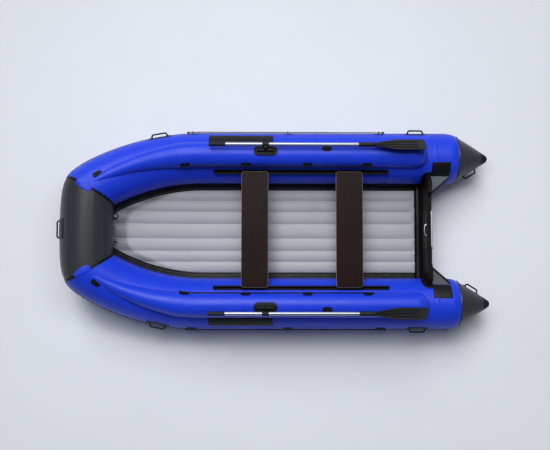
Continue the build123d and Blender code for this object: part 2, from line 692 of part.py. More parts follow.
# Rowlock: oval base on the upper chamber, with two lugs that hold a lengthwise bar
BAR_AT = around(CHAMBER_C, CHAMBER_R + BAR_LIFT, BAR_ANGLE)
OAR_AT = (TUBE_Y + OAR_OFF, CHAMBER_Z + OAR_UP)
STEM = (math.sin(math.radians(STEM_LEAN)), math.cos(math.radians(STEM_LEAN)))
ACROSS = (STEM[1], -STEM[0])
REACH = (OAR_AT[0] - BAR_AT[0]) * ACROSS[0] + (OAR_AT[1] - BAR_AT[1]) * ACROSS[1]
YOKE_L = 2 * LUG_AT - LUG_T - 2 * YOKE_PLAY
STEM_PLANE = Plane(origin=(ROWLOCK_X, *BAR_AT), x_dir=(1, 0, 0), z_dir=(0, *STEM))
LUG_MID = Location((*around(CHAMBER_C, CHAMBER_R + BAR_LIFT / 2, BAR_ANGLE), 0), (0, 0, -BAR_ANGLE))

with BuildPart() as rowlock_base_port:
    extrude(
        Pos(ROWLOCK_X - BASE_L / 2, 0, 0)
        * sector(
            CHAMBER_C, CHAMBER_R + GLUE_GAP, CHAMBER_R + GLUE_GAP + BASE_T,
            BAR_ANGLE - BASE_SPREAD, BAR_ANGLE + BASE_SPREAD,
        ),
        amount=BASE_L, dir=(1, 0, 0),
    )
    base_plane = Plane(
        origin=(ROWLOCK_X, TUBE_Y, CHAMBER_Z), x_dir=(1, 0, 0),
        z_dir=(0, math.sin(math.radians(BAR_ANGLE)), math.cos(math.radians(BAR_ANGLE))),
    )
    with BuildSketch(base_plane.offset(CHAMBER_R / 2)):
        RectangleRounded(BASE_L, BASE_W, BASE_W / 2 - 1)
    extrude(amount=CHAMBER_R, mode=Mode.INTERSECT)
    with Locations(base_plane.offset(CHAMBER_R + GLUE_GAP + BASE_T - 1)):
        with Locations((-BOSS_AT, 0), (BOSS_AT, 0)):
            Cone(BOSS_R, BOSS_R - 2, BOSS_H, align=(Align.CENTER, Align.CENTER, Align.MIN))
    for side in (-1, 1):
        with BuildSketch(Plane.YZ.offset(ROWLOCK_X + side * LUG_AT - LUG_T / 2)):
            with Locations(BAR_AT):
                Circle(LUG_R)
            with Locations(LUG_MID):
                Trapezoid(LUG_FOOT, BAR_LIFT, LUG_SLOPE)
            with Locations(CHAMBER_C):
                Circle(CHAMBER_R + GLUE_GAP + BASE_T / 2, mode=Mode.SUBTRACT)
        extrude(amount=LUG_T)
    with Locations(Location((ROWLOCK_X, *BAR_AT), (0, 90, 0))):
        Cylinder(BAR_R, 2 * LUG_AT + LUG_T)

with BuildPart() as rowlock_base_starboard:
    mirror(rowlock_base_port.part, about=Plane.XZ)

# Rowlock yoke: a sleeve on the bar with an upright stem that the oar's clamp turns on
with BuildPart() as rowlock_yoke_port:
    with Locations(Location((ROWLOCK_X, *BAR_AT), (0, 90, 0))):
        Cylinder(BAR_R + SLEEVE_WALL, YOKE_L)
    with Locations(STEM_PLANE):
        Cylinder(STEM_R, STEM_TOP, align=(Align.CENTER, Align.CENTER, Align.MIN))
        with Locations((0, 0, STEM_TOP)):
            Cylinder(STEM_HEAD_R, STEM_HEAD_T, align=(Align.CENTER, Align.CENTER, Align.MIN))
    with Locations(Location((ROWLOCK_X, *BAR_AT), (0, 90, 0))):
        Cylinder(BAR_R + RUN_FIT, YOKE_L + 2, mode=Mode.SUBTRACT)

with BuildPart() as rowlock_yoke_starboard:
    mirror(rowlock_yoke_port.part, about=Plane.XZ)

# Oar clamp: a collar on the stem and a band around the shaft, joined by a short arm
with BuildPart() as oar_clamp_port:
    clamp_low = BAR_R + SLEEVE_WALL + CLAMP_GAP
    collar_l = STEM_TOP - clamp_low - YOKE_PLAY
    with Locations(STEM_PLANE.offset(clamp_low)):
        Cylinder(STEM_R + CLAMP_WALL, collar_l, align=(Align.CENTER, Align.CENTER, Align.MIN))
        with Locations((0, REACH / 2, collar_l / 2)):
            Box(CLAMP_ARM_W, REACH, CLAMP_ARM_T)
    with Locations(Location((ROWLOCK_X, *OAR_AT), (0, 90, 0))):
        Cylinder(OAR_R + CLAMP_WALL, BAND_L)
        Cylinder(OAR_R + RUN_FIT, BAND_L + 2, mode=Mode.SUBTRACT)
    with Locations(STEM_PLANE):
        Cylinder(STEM_R + RUN_FIT, 4 * STEM_TOP, mode=Mode.SUBTRACT)

with BuildPart() as oar_clamp_starboard:
    mirror(oar_clamp_port.part, about=Plane.XZ)

# Oars: aluminium shaft, plastic grip forward, ribbed plastic blade aft
with BuildPart() as oar_shaft_port:
    shaft_x0 = BLADE_X0 - BLADE_NECK_L / 2
    shaft_x1 = GRIP_X1 - GRIP_END
    with Locations(Location(((shaft_x0 + shaft_x1) / 2, *OAR_AT), (0, 90, 0))):
        Cylinder(OAR_R, shaft_x1 - shaft_x0)

with BuildPart() as oar_shaft_starboard:
    mirror(oar_shaft_port.part, about=Plane.XZ)

with BuildPart() as oar_grip_port:
    with Locations(Location((GRIP_X1 - GRIP_L / 2, *OAR_AT), (0, 90, 0))):
        Cylinder(GRIP_R, GRIP_L)
    chamfer(oar_grip_port.edges().filter_by(GeomType.CIRCLE), GRIP_BEVEL)
    with Locations(Location((GRIP_X1 - GRIP_END - GRIP_L / 2, *OAR_AT), (0, 90, 0))):
        Cylinder(OAR_R + RUN_FIT, GRIP_L, mode=Mode.SUBTRACT)

with BuildPart() as oar_grip_starboard:
    mirror(oar_grip_port.part, about=Plane.XZ)

with BuildPart() as oar_blade_port:
    blade_plane = Plane(
        origin=(BLADE_X0, *OAR_AT), x_dir=(-1, 0, 0),
        z_dir=(0, math.sin(math.radians(BLADE_LEAN)), math.cos(math.radians(BLADE_LEAN))),
    )
    with BuildSketch(blade_plane.offset(-BLADE_T / 2)):
        with BuildLine():
            upper = [
                (BLADE_NECK_L / 2, OAR_R - 3), (BLADE_NECK_L, OAR_R + 5), (BLADE_WIDE_AT, BLADE_W / 2),
                (BLADE_L - BLADE_TIP_BEVEL, BLADE_W / 2), (BLADE_L, BLADE_TIP_W / 2),
            ]
            Polyline(*upper, *((x, -y) for x, y in reversed(upper)), close=True)
        make_face()
        fillet(vertices().sort_by(Axis.X)[-4:], BLADE_CORNER_R)
    extrude(amount=BLADE_T)
    for rib in (-1, 0, 1):
        neck = rib * RIB_W
        wide = rib * RIB_GAP
        with BuildSketch(blade_plane):
            with BuildLine():
                Polyline(
                    (RIB_X0, neck - RIB_W / 2), (RIB_WIDE_AT, wide - RIB_W / 2),
                    (RIB_X1, wide - 0.4 * RIB_W), (RIB_X1, wide + 0.4 * RIB_W),
                    (RIB_WIDE_AT, wide + RIB_W / 2), (RIB_X0, neck + RIB_W / 2), close=True,
                )
            make_face()
        extrude(amount=BLADE_T / 2 + RIB_H)
    with Locations(Location((BLADE_X0 - BLADE_NECK_L / 2, *OAR_AT), (0, 90, 0))):
        Cylinder(OAR_R + SOCKET_WALL, BLADE_NECK_L)
        Cylinder(OAR_R + RUN_FIT, 1.02 * BLADE_NECK_L, mode=Mode.SUBTRACT)
    with Locations(Location((BLADE_X0 - BLADE_NECK_L, *OAR_AT), (0, -90, 0))):
        Cone(OAR_R + SOCKET_WALL, SOCKET_TIP_R, SOCKET_CONE_L, align=(Align.CENTER, Align.CENTER, Align.MIN))

with BuildPart() as oar_blade_starboard:
    mirror(oar_blade_port.part, about=Plane.XZ)


def carry_handle(plane, span=HANDLE_SPAN, proud=HANDLE_PROUD):
    """Bowed grip on two feet. The plane lies on the tube, x along the grip, z outwards."""
    with BuildPart(mode=Mode.PRIVATE) as handle:
        with BuildLine(Plane(origin=plane.origin, x_dir=plane.x_dir, z_dir=-plane.y_dir)) as grip_path:
            foot = span / 2
            shoulder = foot - HANDLE_SHOULDER
            FilletPolyline(
                (-foot, -HANDLE_FOOT_T), (-shoulder, proud), (shoulder, proud), (foot, -HANDLE_FOOT_T),
                radius=HANDLE_CORNER_R,
            )
        with BuildSketch(Plane(origin=grip_path.wires()[0] @ 0, z_dir=grip_path.wires()[0] % 0)):
            Circle(HANDLE_R)
        sweep(path=grip_path.wires()[0])
        for end in (-1, 1):
            with Locations(plane):
                with Locations((end * span / 2, 0, 0)):
                    Cylinder(HANDLE_FOOT_R, 2 * HANDLE_FOOT_T)
    return handle.part


def hull_place(x, angle):
    """Plane on the port tube's skin at station x, x along the tube and z outwards."""
    point, heading = tube_axis(x)
    turn = math.radians(angle)
    along = Vector(math.cos(math.radians(heading)), math.sin(math.radians(heading)), 0)
    if x > BEND_X:
        bend = math.asin((x - BEND_X) / BEND_R)
        along = Vector(math.cos(bend), -math.sin(bend) * math.cos(TILT), math.sin(bend) * math.sin(TILT))
    side = Vector(0, 0, 1).cross(along).normalized()
    up = along.cross(side)
    outward = side * math.sin(turn) + up * math.cos(turn)
    return Plane(origin=Vector(*point) + outward * TUBE_R, x_dir=along, z_dir=outward)


with BuildPart() as side_handles:
    for x in HANDLE_X:
        add(carry_handle(hull_place(x, HANDLE_ANGLE)))
    add(side_sweep(TUBE_R + GLUE_GAP, TAPER_X), mode=Mode.SUBTRACT)
    mirror(side_handles.part, about=Plane.XZ)

with BuildPart() as bow_handle:
    bow_front = Plane(origin=(BOW_X + TUBE_R, 0, BOW_Z), x_dir=(0, 1, 0), z_dir=(1, 0, 0))
    add(carry_handle(bow_front, span=BOW_HANDLE_SPAN))
    add(bow_sweep(TUBE_R + GLUE_GAP), mode=Mode.SUBTRACT)

with BuildPart() as cone_handles:
    cone_mid = Vector(
        (CONE_X + nose_x) / 2, TUBE_Y - (CONE_BASE_R + CONE_NOSE_R) / 2 - 5, TUBE_Z
    )
    add(
        carry_handle(
            Plane(origin=cone_mid, x_dir=(math.cos(slope), -math.sin(slope), 0),
                  z_dir=(-math.sin(slope), -math.cos(slope), 0)),
            span=CONE_HANDLE_SPAN,
        )
    )
    with BuildSketch(Plane.XZ.offset(-TUBE_Y)):
        with BuildLine():
            Polyline(
                (CONE_TIP_X, TUBE_Z), (CONE_X + 40, TUBE_Z),
                (CONE_X + 40, TUBE_Z + CONE_BASE_R + GLUE_GAP), (CONE_X, TUBE_Z + CONE_BASE_R + GLUE_GAP),
                (touch[0], touch[1] + GLUE_GAP), (CONE_TIP_X, TUBE_Z + CONE_NOSE_R), close=True,
            )
        make_face()
    revolve(axis=Axis((0, TUBE_Y, TUBE_Z), (1, 0, 0)), mode=Mode.SUBTRACT)
    mirror(cone_handles.part, about=Plane.XZ)

# Rub strakes: flat dark strips around the outside of the tubes
with BuildPart() as rub_strake_port:
    half_angle = math.degrees(STRAKE_W / 2 / TUBE_R)
    strake_angles = [STRAKE_ANGLE + side * half_angle for side in (-1, 0, 1)]
    strake_profile = sector(TUBE_C, TUBE_R + GLUE_GAP, TUBE_R + STRAKE_T, strake_angles[0], strake_angles[-1])
    add(along_tube(strake_profile, TAPER_X, BEND_ANGLE * 1.25))
    split(bisect_by=MITRE_PORT, keep=Keep.BOTTOM)
    add(side_sweep(TUBE_R + GLUE_GAP, TAPER_X), mode=Mode.SUBTRACT)
    add(side_handles.part, mode=Mode.SUBTRACT)

with BuildPart() as rub_strake_starboard:
    mirror(rub_strake_port.part, about=Plane.XZ)

# Bow strake: the same strip across the front of the bow tube
with BuildPart() as rub_strake_bow:
    bow_centre = (BOW_X - BOW_CURVE_R, 0, BOW_Z)
    bow_axis = (BOW_CURVE_R, 0)
    with BuildSketch(Plane(origin=bow_centre, x_dir=(1, 0, 0), z_dir=(0, -1, 0))) as bow_profile:
        with BuildLine():
            for r in (TUBE_R + GLUE_GAP, TUBE_R + STRAKE_T):
                ThreePointArc(*(around(bow_axis, r, angle) for angle in strake_angles))
            for angle in (strake_angles[0], strake_angles[-1]):
                Line(around(bow_axis, TUBE_R + GLUE_GAP, angle), around(bow_axis, TUBE_R + STRAKE_T, angle))
        make_face()
    for arc in (1, -1):
        revolve(
            bow_profile.sketch, axis=Axis(bow_centre, (0, 0, arc)),
            revolution_arc=math.degrees(math.asin(BOW_SPAN_HALF / BOW_CURVE_R)),
        )
    split(bisect_by=MITRE_PORT, keep=Keep.TOP)
    split(bisect_by=MITRE_STARBOARD, keep=Keep.TOP)
    add(bow_handle.part, mode=Mode.SUBTRACT)


# Lifelines: a taut rope through eyes along the inside and the outside of each tube
def skin_frame(centre, radius, angle, x):
    """Plane on the skin of the straight or curved tube at station x, x along it and z outwards."""
    bend = math.asin(max(0.0, x - BEND_X) / BEND_R)
    inward = BEND_R * (1.0 - math.cos(bend))
    axis_at = Vector(x, centre[0] - inward * math.cos(TILT), centre[1] + inward * math.sin(TILT))
    along = Vector(math.cos(bend), -math.sin(bend) * math.cos(TILT), math.sin(bend) * math.sin(TILT))
    normal = Vector(0, math.sin(TILT), math.cos(TILT))
    out = normal.cross(along)
    side = out * math.cos(TILT) + normal * math.sin(TILT)
    up = normal * math.cos(TILT) - out * math.sin(TILT)
    turn = math.radians(angle)
    outward = side * math.sin(turn) + up * math.cos(turn)
    return Plane(origin=axis_at + outward * radius, x_dir=along, z_dir=outward)


def rope_eye(centre, radius, angle, x, hole_r, wall, lift):
    """Eye for a rope: an oval pad that follows the skin, with a pierced lug standing in its middle."""
    place = skin_frame(centre, radius, angle, x)
    with BuildPart(mode=Mode.PRIVATE) as eye:
        with BuildSketch(place.offset(-EYE_W)):
            SlotOverall(EYE_L, EYE_W)
        extrude(amount=2 * EYE_W)
        cover = Plane(origin=place.origin - place.z_dir * radius, x_dir=place.y_dir, z_dir=place.x_dir)
        with Locations(cover):
            Cylinder(radius + GLUE_GAP + EYE_T, 2 * EYE_L, mode=Mode.INTERSECT)
        hole = Plane(origin=place.origin + place.z_dir * lift, x_dir=place.y_dir, z_dir=place.x_dir)
        with BuildSketch(hole):
            Circle(hole_r + wall)
            with Locations((0, -lift / 2)):
                Rectangle(2 * (hole_r + wall), lift)
        extrude(amount=EYE_LUG_T / 2, both=True)
        with Locations(cover):
            Cylinder(radius + GLUE_GAP, 2 * EYE_L, mode=Mode.SUBTRACT)
        with Locations(hole):
            Cylinder(hole_r, 2 * EYE_LUG_T, mode=Mode.SUBTRACT)
    return eye.part


with BuildPart() as lifeline_eyes_port:
    for x in INNER_EYES_X:
        add(rope_eye(CHAMBER_C, CHAMBER_R, INNER_EYE_ANGLE, x, ROPE_R + ROPE_PLAY, EYE_WALL, EYE_LIFT))
    for x in OUTER_EYES_X:
        add(rope_eye(TUBE_C, TUBE_R, OUTER_EYE_ANGLE, x, ROPE_R + ROPE_PLAY, EYE_WALL, EYE_LIFT))
    add(rope_eye(TUBE_C, TUBE_R, BOW_EYE_ANGLE, BOW_EYE_X, ROPE_R + ROPE_PLAY, EYE_WALL, EYE_LIFT))
    add(side_sweep(TUBE_R + GLUE_GAP / 2, TAPER_X), mode=Mode.SUBTRACT)
    add(top_chamber_port.part, mode=Mode.SUBTRACT)

with BuildPart() as lifeline_eyes_starboard:
    mirror(lifeline_eyes_port.part, about=Plane.XZ)

# Oar rests: a pad with a ring beside each stowed shaft
with BuildPart() as oar_rest_port:
    rest_lift = EYE_T + REST_RING_R + REST_WALL / 2
    add(rope_eye(CHAMBER_C, CHAMBER_R, REST_ANGLE, REST_X, REST_RING_R, REST_WALL, rest_lift))

with BuildPart() as oar_rest_starboard:
    mirror(oar_rest_port.part, about=Plane.XZ)


def rope_run(centre, radius, angle, eyes_x):
    """Rope held a little off the skin, following the tube and ending a little beyond its last eyes."""
    with BuildSketch(Plane.YZ) as rope_profile:
        with Locations(around(centre, radius + EYE_LIFT, angle)):
            Circle(ROPE_R)
    bend = math.asin((eyes_x[0] + ROPE_END - BEND_X) / BEND_R)
    return along_tube(rope_profile.sketch, eyes_x[-1] - ROPE_END, bend)


with BuildPart() as inner_lifeline_port:
    add(rope_run(CHAMBER_C, CHAMBER_R, INNER_EYE_ANGLE, INNER_EYES_X))

with BuildPart() as inner_lifeline_starboard:
    mirror(inner_lifeline_port.part, about=Plane.XZ)

with BuildPart() as outer_lifeline_port:
    add(rope_run(TUBE_C, TUBE_R, OUTER_EYE_ANGLE, OUTER_EYES_X))

with BuildPart() as outer_lifeline_starboard:
    mirror(outer_lifeline_port.part, about=Plane.XZ)

# Plain dark panels on the outer slope of the tubes
with BuildPart() as side_panel_port:
    panel_top = CHAMBER_FOOT + math.degrees(PANEL_GAP / TUBE_R)
    panel_low = panel_top + math.degrees(PANEL_W / TUBE_R)
    panel_in = TUBE_R + GLUE_GAP
    panel_profile = sector(TUBE_C, panel_in, panel_in + PANEL_T, panel_top, panel_low)
    extrude(Pos(PANEL_X0, 0, 0) * panel_profile, amount=PANEL_L, dir=(1, 0, 0))

with BuildPart() as side_panel_starboard:
    mirror(side_panel_port.part, about=Plane.XZ)

# Air valves: on the floor by the bow, and on the inside of each tube aft
with BuildPart() as air_valves:
    for ahead, y in FLOOR_VALVES:
        x = BOW_X - TUBE_R + ahead
        lift = FLOOR_Z + FLOOR_RISE_R - math.sqrt(FLOOR_RISE_R**2 - (x - BEND_X) ** 2)
        lean = math.degrees(math.asin((x - BEND_X) / FLOOR_RISE_R))
        with Locations(Location((x, y, lift + CELL_CROWN / 2), (0, -lean, 0))):
            Cylinder(FLOOR_VALVE_R, VALVE_T)
            with Locations((0, 0, VALVE_T / 2)):
                Cylinder(VALVE_CAP_R, VALVE_CAP_T)
    for x in TUBE_VALVES_X:
        for side in (-1, 1):
            with Locations(Location((x, side * (TUBE_Y - TUBE_R), TUBE_Z), (side * 90, 0, 0))):
                Cylinder(TUBE_VALVE_R, TUBE_VALVE_T)
                with Locations((0, 0, TUBE_VALVE_T / 2 + VALVE_CAP_T / 3)):
                    Cylinder(VALVE_CAP_R, VALVE_CAP_T)
    add(air_floor.part, mode=Mode.SUBTRACT)
    add(bow_sweep(TUBE_R + GLUE_GAP), mode=Mode.SUBTRACT)
    add(side_sweep(TUBE_R + GLUE_GAP, TAPER_X), mode=Mode.SUBTRACT)
    add(mirror(side_sweep(TUBE_R + GLUE_GAP, TAPER_X), about=Plane.XZ, mode=Mode.PRIVATE), mode=Mode.SUBTRACT)

for name, piece in {
    "side_tube_port": side_tube_port, "side_tube_starboard": side_tube_starboard,
    "bow_tube": bow_tube,
    "stern_cone_port": stern_cone_port, "stern_cone_starboard": stern_cone_starboard,
    "top_chamber_port": top_chamber_port, "top_chamber_starboard": top_chamber_starboard,
    "air_floor": air_floor, "hull_bottom": hull_bottom, "keel_strips": keel_strips,
    "floor_edge_port": floor_edge_port, "floor_edge_starboard": floor_edge_starboard,
    "transom": transom, "motor_pad_inner": motor_pad_inner, "motor_plate_outer": motor_plate_outer,
    "drain_valve": drain_valve,
    "transom_knee_port": transom_knee_port, "transom_knee_starboard": transom_knee_starboard,
    "transom_patch_port": transom_patch_port, "transom_patch_starboard": transom_patch_starboard,
    "seat_rail_port": seat_rail_port, "seat_rail_starboard": seat_rail_starboard,
    "seat_front": seat_front, "seat_rear": seat_rear,
    "seat_front_sliders": seat_front_sliders, "seat_rear_sliders": seat_rear_sliders,
    "rowlock_base_port": rowlock_base_port, "rowlock_base_starboard": rowlock_base_starboard,
    "rowlock_yoke_port": rowlock_yoke_port, "rowlock_yoke_starboard": rowlock_yoke_starboard,
    "oar_clamp_port": oar_clamp_port, "oar_clamp_starboard": oar_clamp_starboard,
    "oar_shaft_port": oar_shaft_port, "oar_shaft_starboard": oar_shaft_starboard,
    "oar_grip_port": oar_grip_port, "oar_grip_starboard": oar_grip_starboard,
    "oar_blade_port": oar_blade_port, "oar_blade_starboard": oar_blade_starboard,
    "side_handles": side_handles, "bow_handle": bow_handle, "cone_handles": cone_handles,
    "rub_strake_port": rub_strake_port, "rub_strake_starboard": rub_strake_starboard,
    "rub_strake_bow": rub_strake_bow,
    "oar_rest_port": oar_rest_port, "oar_rest_starboard": oar_rest_starboard,
    "lifeline_eyes_port": lifeline_eyes_port, "lifeline_eyes_starboard": lifeline_eyes_starboard,
    "inner_lifeline_port": inner_lifeline_port, "inner_lifeline_starboard": inner_lifeline_starboard,
    "outer_lifeline_port": outer_lifeline_port, "outer_lifeline_starboard": outer_lifeline_starboard,
    "side_panel_port": side_panel_port, "side_panel_starboard": side_panel_starboard,
    "air_valves": air_valves,
}.items():
    piece.part.label = name
    export_step(piece.part, f"parts/{name}.step")
    box = piece.part.bounding_box()
    low, high = box.min, box.max
    print(
        f"{name:26s} {len(piece.part.solids()):2d} {piece.part.volume:12.0f} "
        f"x {low.X:8.1f} {high.X:8.1f} y {low.Y:8.1f} {high.Y:8.1f} z {low.Z:7.1f} {high.Z:7.1f}"
    )
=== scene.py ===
"""Looks of an inflatable boat: coated-fabric skins, ropes, trim, finishes and the studio around it.

Metres. +X to the bow, +Y to port, +Z up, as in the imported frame.
"""
import math

import bmesh
import bpy
import numpy as np
from mathutils import Matrix, Vector


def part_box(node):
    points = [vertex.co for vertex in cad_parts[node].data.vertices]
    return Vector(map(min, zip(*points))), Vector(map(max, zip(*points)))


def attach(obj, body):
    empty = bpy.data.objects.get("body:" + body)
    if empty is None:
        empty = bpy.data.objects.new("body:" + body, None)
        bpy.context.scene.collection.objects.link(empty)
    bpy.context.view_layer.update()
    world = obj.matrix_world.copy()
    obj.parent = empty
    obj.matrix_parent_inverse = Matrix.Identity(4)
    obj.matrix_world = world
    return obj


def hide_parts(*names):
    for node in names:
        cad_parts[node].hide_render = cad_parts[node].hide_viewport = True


bl_info = {
    "name": "Inflatable Boat Looks",
    "version": (1, 0, 0),
    "blender": (4, 5, 0),
    "location": "3D View > Sidebar > Boat",
    "description": "Builds the skins, ropes, trim and finishes of an inflatable boat around its frame",
    "category": "Object",
}

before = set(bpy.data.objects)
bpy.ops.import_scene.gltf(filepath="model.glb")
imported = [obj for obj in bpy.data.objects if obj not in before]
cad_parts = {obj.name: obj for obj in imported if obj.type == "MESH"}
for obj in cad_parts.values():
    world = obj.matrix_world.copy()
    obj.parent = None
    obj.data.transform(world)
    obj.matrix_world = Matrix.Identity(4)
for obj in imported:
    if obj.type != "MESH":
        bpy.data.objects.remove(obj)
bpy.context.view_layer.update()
MM = 0.001
UP = np.array([0.0, 0.0, 1.0])

# Sizes read from the frame
CONE_LOW, CONE_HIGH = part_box("stern_cone_port")
TUBE_Y = (CONE_LOW[1] + CONE_HIGH[1]) / 2
TUBE_Z = (CONE_LOW[2] + CONE_HIGH[2]) / 2
TUBE_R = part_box("side_tube_port")[1][1] - TUBE_Y
CONE_R = (CONE_HIGH[1] - CONE_LOW[1]) / 2
CONE_X = CONE_HIGH[0]
CONE_TIP_X = CONE_LOW[0]
CHAMBER_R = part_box("top_chamber_port")[1][1] - TUBE_Y
FLOOR_AFT_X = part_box("air_floor")[0][0]
FLOOR_MID_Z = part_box("air_floor")[0][2]
BOTTOM_AFT_X, _, BOTTOM_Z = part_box("hull_bottom")[0]
TRANSOM_AFT_X, TRANSOM_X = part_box("transom")[0][0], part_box("transom")[1][0]

# Sizes that the frame holds but no box gives
GLUE_GAP = 0.3 * MM
BEND_X = 590 * MM
MITRE_X = 1506.4 * MM
MITRE_Y = 312 * MM
BOW_TILT = math.radians(28)
BOW_CURVE_R = 6.0
TAPER_X = -1410 * MM
CONE_NOSE_R = 34 * MM
CHAMBER_RISE = TUBE_R + 10 * MM
CHAMBER_AFT_X = -1112 * MM
CHAMBER_NOSE_R = 24 * MM
CHAMBER_DIP = CHAMBER_RISE - TUBE_R + CHAMBER_NOSE_R + 2 * MM
CHAMBER_TAPER = (0.18, 0.96)
FLOOR_CELLS = np.array([(0, 122), (112.5, 103), (209, 90), (299, 90)]) * MM
FLOOR_Z = 118 * MM
CELL_CROWN = 11 * MM
FLOOR_RISE_R = 2.6
BAND_W = 67 * MM
BAND_RISE = 30 * MM
BULGE_W = 120 * MM
BULGE_H = 9 * MM
STRAKE_W = 60 * MM
STRAKE_T = 6 * MM
STRAKE_ANGLE = math.radians(94)
EYE_LIFT = 11.5 * MM
ROPE_R = 4 * MM
HANDLE_X = (0.915, -1.147)
OUTER_LINE_ANGLE = math.radians(72)  # the outer rope and the side handles lie along this line of the tube
NOTCH_Z = 392 * MM
HARDWARE_Z = 374 * MM  # the knees' bolts and the steel eye sit at this height on the transom
LOW_SHARE = 8  # the flat inner sides of floor and bottom have one row of faces for so many of the outer ones

SIN_TILT, COS_TILT = math.sin(BOW_TILT), math.cos(BOW_TILT)
DROP = (TUBE_Y - MITRE_Y) / COS_TILT
BEND_ANGLE = 2 * math.atan2(DROP, MITRE_X - BEND_X)
BEND_R = (MITRE_X - BEND_X) / math.sin(BEND_ANGLE)
BOW_Z = TUBE_Z + DROP * SIN_TILT
BOW_X = MITRE_X + BOW_CURVE_R - math.sqrt(BOW_CURVE_R**2 - MITRE_Y**2)
BOW_TURN = math.asin(MITRE_Y / BOW_CURVE_R)
BOW_TURN_LIMIT = 0.2
RUN_LIMITS = (0.4, 1.5)  # the bow seam lies between these runs all round the side tube
BEND_NORMAL = np.array([0.0, SIN_TILT, COS_TILT])
SIDE_HEADING = np.array(
    [math.cos(BEND_ANGLE), -math.sin(BEND_ANGLE) * COS_TILT, math.sin(BEND_ANGLE) * SIN_TILT]
)
MITRE_POINT = np.array([MITRE_X, MITRE_Y, BOW_Z])
MITRE_NORMAL = SIDE_HEADING + np.array([math.sin(BOW_TURN), -math.cos(BOW_TURN), 0.0])
MITRE_NORMAL /= np.linalg.norm(MITRE_NORMAL)
MITRE_OUT = np.array([MITRE_NORMAL[1], -MITRE_NORMAL[0], 0.0])
MITRE_OUT *= np.sign(MITRE_OUT[0]) / np.linalg.norm(MITRE_OUT)
CORNER_PULL = 36 * MM
CORNER_REACH = 95 * MM
SIDES = (("port", 1.0), ("starboard", -1.0))


def linear(hex_colour):
    """Linear colour with alpha from an sRGB hex value."""
    channels = [int(hex_colour[i:i + 2], 16) / 255 for i in (1, 3, 5)]
    return (*(c / 12.92 if c <= 0.04045 else ((c + 0.055) / 1.055) ** 2.4 for c in channels), 1.0)


def linear_rgb(hex_colour):
    """Linear colour without alpha, as a colour property takes it."""
    return linear(hex_colour)[:3]


class BoatSizes(bpy.types.PropertyGroup):
    """Sizes of the fabric detail that the frame doesn't hold."""

    seam_width: bpy.props.FloatProperty(
        name="Seam width", description="Width of a welded overlap around a tube",
        default=34 * MM, min=0.0, unit="LENGTH")
    seam_height: bpy.props.FloatProperty(
        name="Seam height", description="Thickness of a welded overlap",
        default=0.9 * MM, min=0.0, unit="LENGTH")
    tape_width: bpy.props.FloatProperty(
        name="Bow tape width", description="Width of the dark tape over each bow seam",
        default=26 * MM, min=0.0, unit="LENGTH")
    swelling: bpy.props.FloatProperty(
        name="Swelling", description="Uneven swelling of the inflated fabric",
        default=0.7 * MM, min=0.0, unit="LENGTH")
    pucker: bpy.props.FloatProperty(
        name="Pucker", description="Depth of the puckers beside seams",
        default=1.3 * MM, min=0.0, unit="LENGTH")
    rope_pitch: bpy.props.FloatProperty(
        name="Rope pitch", description="Length of one turn of a rope strand",
        default=26 * MM, min=0.001, unit="LENGTH")


class BoatColours(bpy.types.PropertyGroup):
    """Colours of the boat's finishes."""

    blue: bpy.props.FloatVectorProperty(
        name="Blue fabric", description="Coated fabric of the tubes", subtype="COLOR",
        size=3, default=linear_rgb("#183ad0"), min=0.0, max=1.0)
    dark: bpy.props.FloatVectorProperty(
        name="Dark fabric", description="Coated fabric of the bow, the cones and the bottom",
        subtype="COLOR", size=3, default=linear_rgb("#2d3134"), min=0.0, max=1.0)
    black: bpy.props.FloatVectorProperty(
        name="Black fabric", description="Coated fabric of bands, tapes and patches", subtype="COLOR",
        size=3, default=linear_rgb("#08090b"), min=0.0, max=1.0)
    deck: bpy.props.FloatVectorProperty(
        name="Deck fabric", description="Grained fabric of the floor's cells", subtype="COLOR",
        size=3, default=linear_rgb("#a1a2a7"), min=0.0, max=1.0)
    # Colour of the floor's bow margin: partly the smooth margin cloth's own tone, partly painted shadow of the bow
    # and side tubes
    deck_margin_and_shade: bpy.props.FloatVectorProperty(
        name="Deck margin", description="Smooth fabric of the floor's bow end", subtype="COLOR",
        size=3, default=linear_rgb("#72777b"), min=0.0, max=1.0)
    board: bpy.props.FloatVectorProperty(
        name="Board film", description="Dark film on the seat boards and the transom", subtype="COLOR",
        size=3, default=linear_rgb("#1d100f"), min=0.0, max=1.0)


# Curves that the fabric follows


def tube_frame(run, lift=0.0):
    """Axis of the port tube at a run, the distance past the start of its bend, with its heading, side and up.

    Aft of the bend the axis is straight; from there it turns by run over the bend's radius in a plane
    that slopes up inboard, and past the mitre it goes straight on.
    """
    run = np.asarray(run, float)
    turn = np.clip(run / BEND_R, 0.0, BEND_ANGLE)
    beyond = np.maximum(run - BEND_R * BEND_ANGLE, 0.0)
    forward = BEND_X + np.minimum(run, 0.0) + BEND_R * np.sin(turn) + beyond * np.cos(turn)
    inward = BEND_R * (1.0 - np.cos(turn)) + beyond * np.sin(turn)
    axis = np.stack([forward, TUBE_Y - inward * COS_TILT, TUBE_Z + lift + inward * SIN_TILT], -1)
    along = np.stack([np.cos(turn), -np.sin(turn) * COS_TILT, np.sin(turn) * SIN_TILT], -1)
    out = np.cross(np.broadcast_to(BEND_NORMAL, along.shape), along)
    side = out * COS_TILT + BEND_NORMAL * SIN_TILT
    up = BEND_NORMAL * COS_TILT - out * SIN_TILT
    return axis, along, side, up


def tube_point(run, angle, radius, lift=0.0):
    """Point at a radius and an angle from the top, positive outboard, around the port tube's axis."""
    axis, _, side, up = tube_frame(run, lift)
    angle = np.asarray(angle)[..., None]
    return axis + np.asarray(radius)[..., None] * (side * np.sin(angle) + up * np.cos(angle))


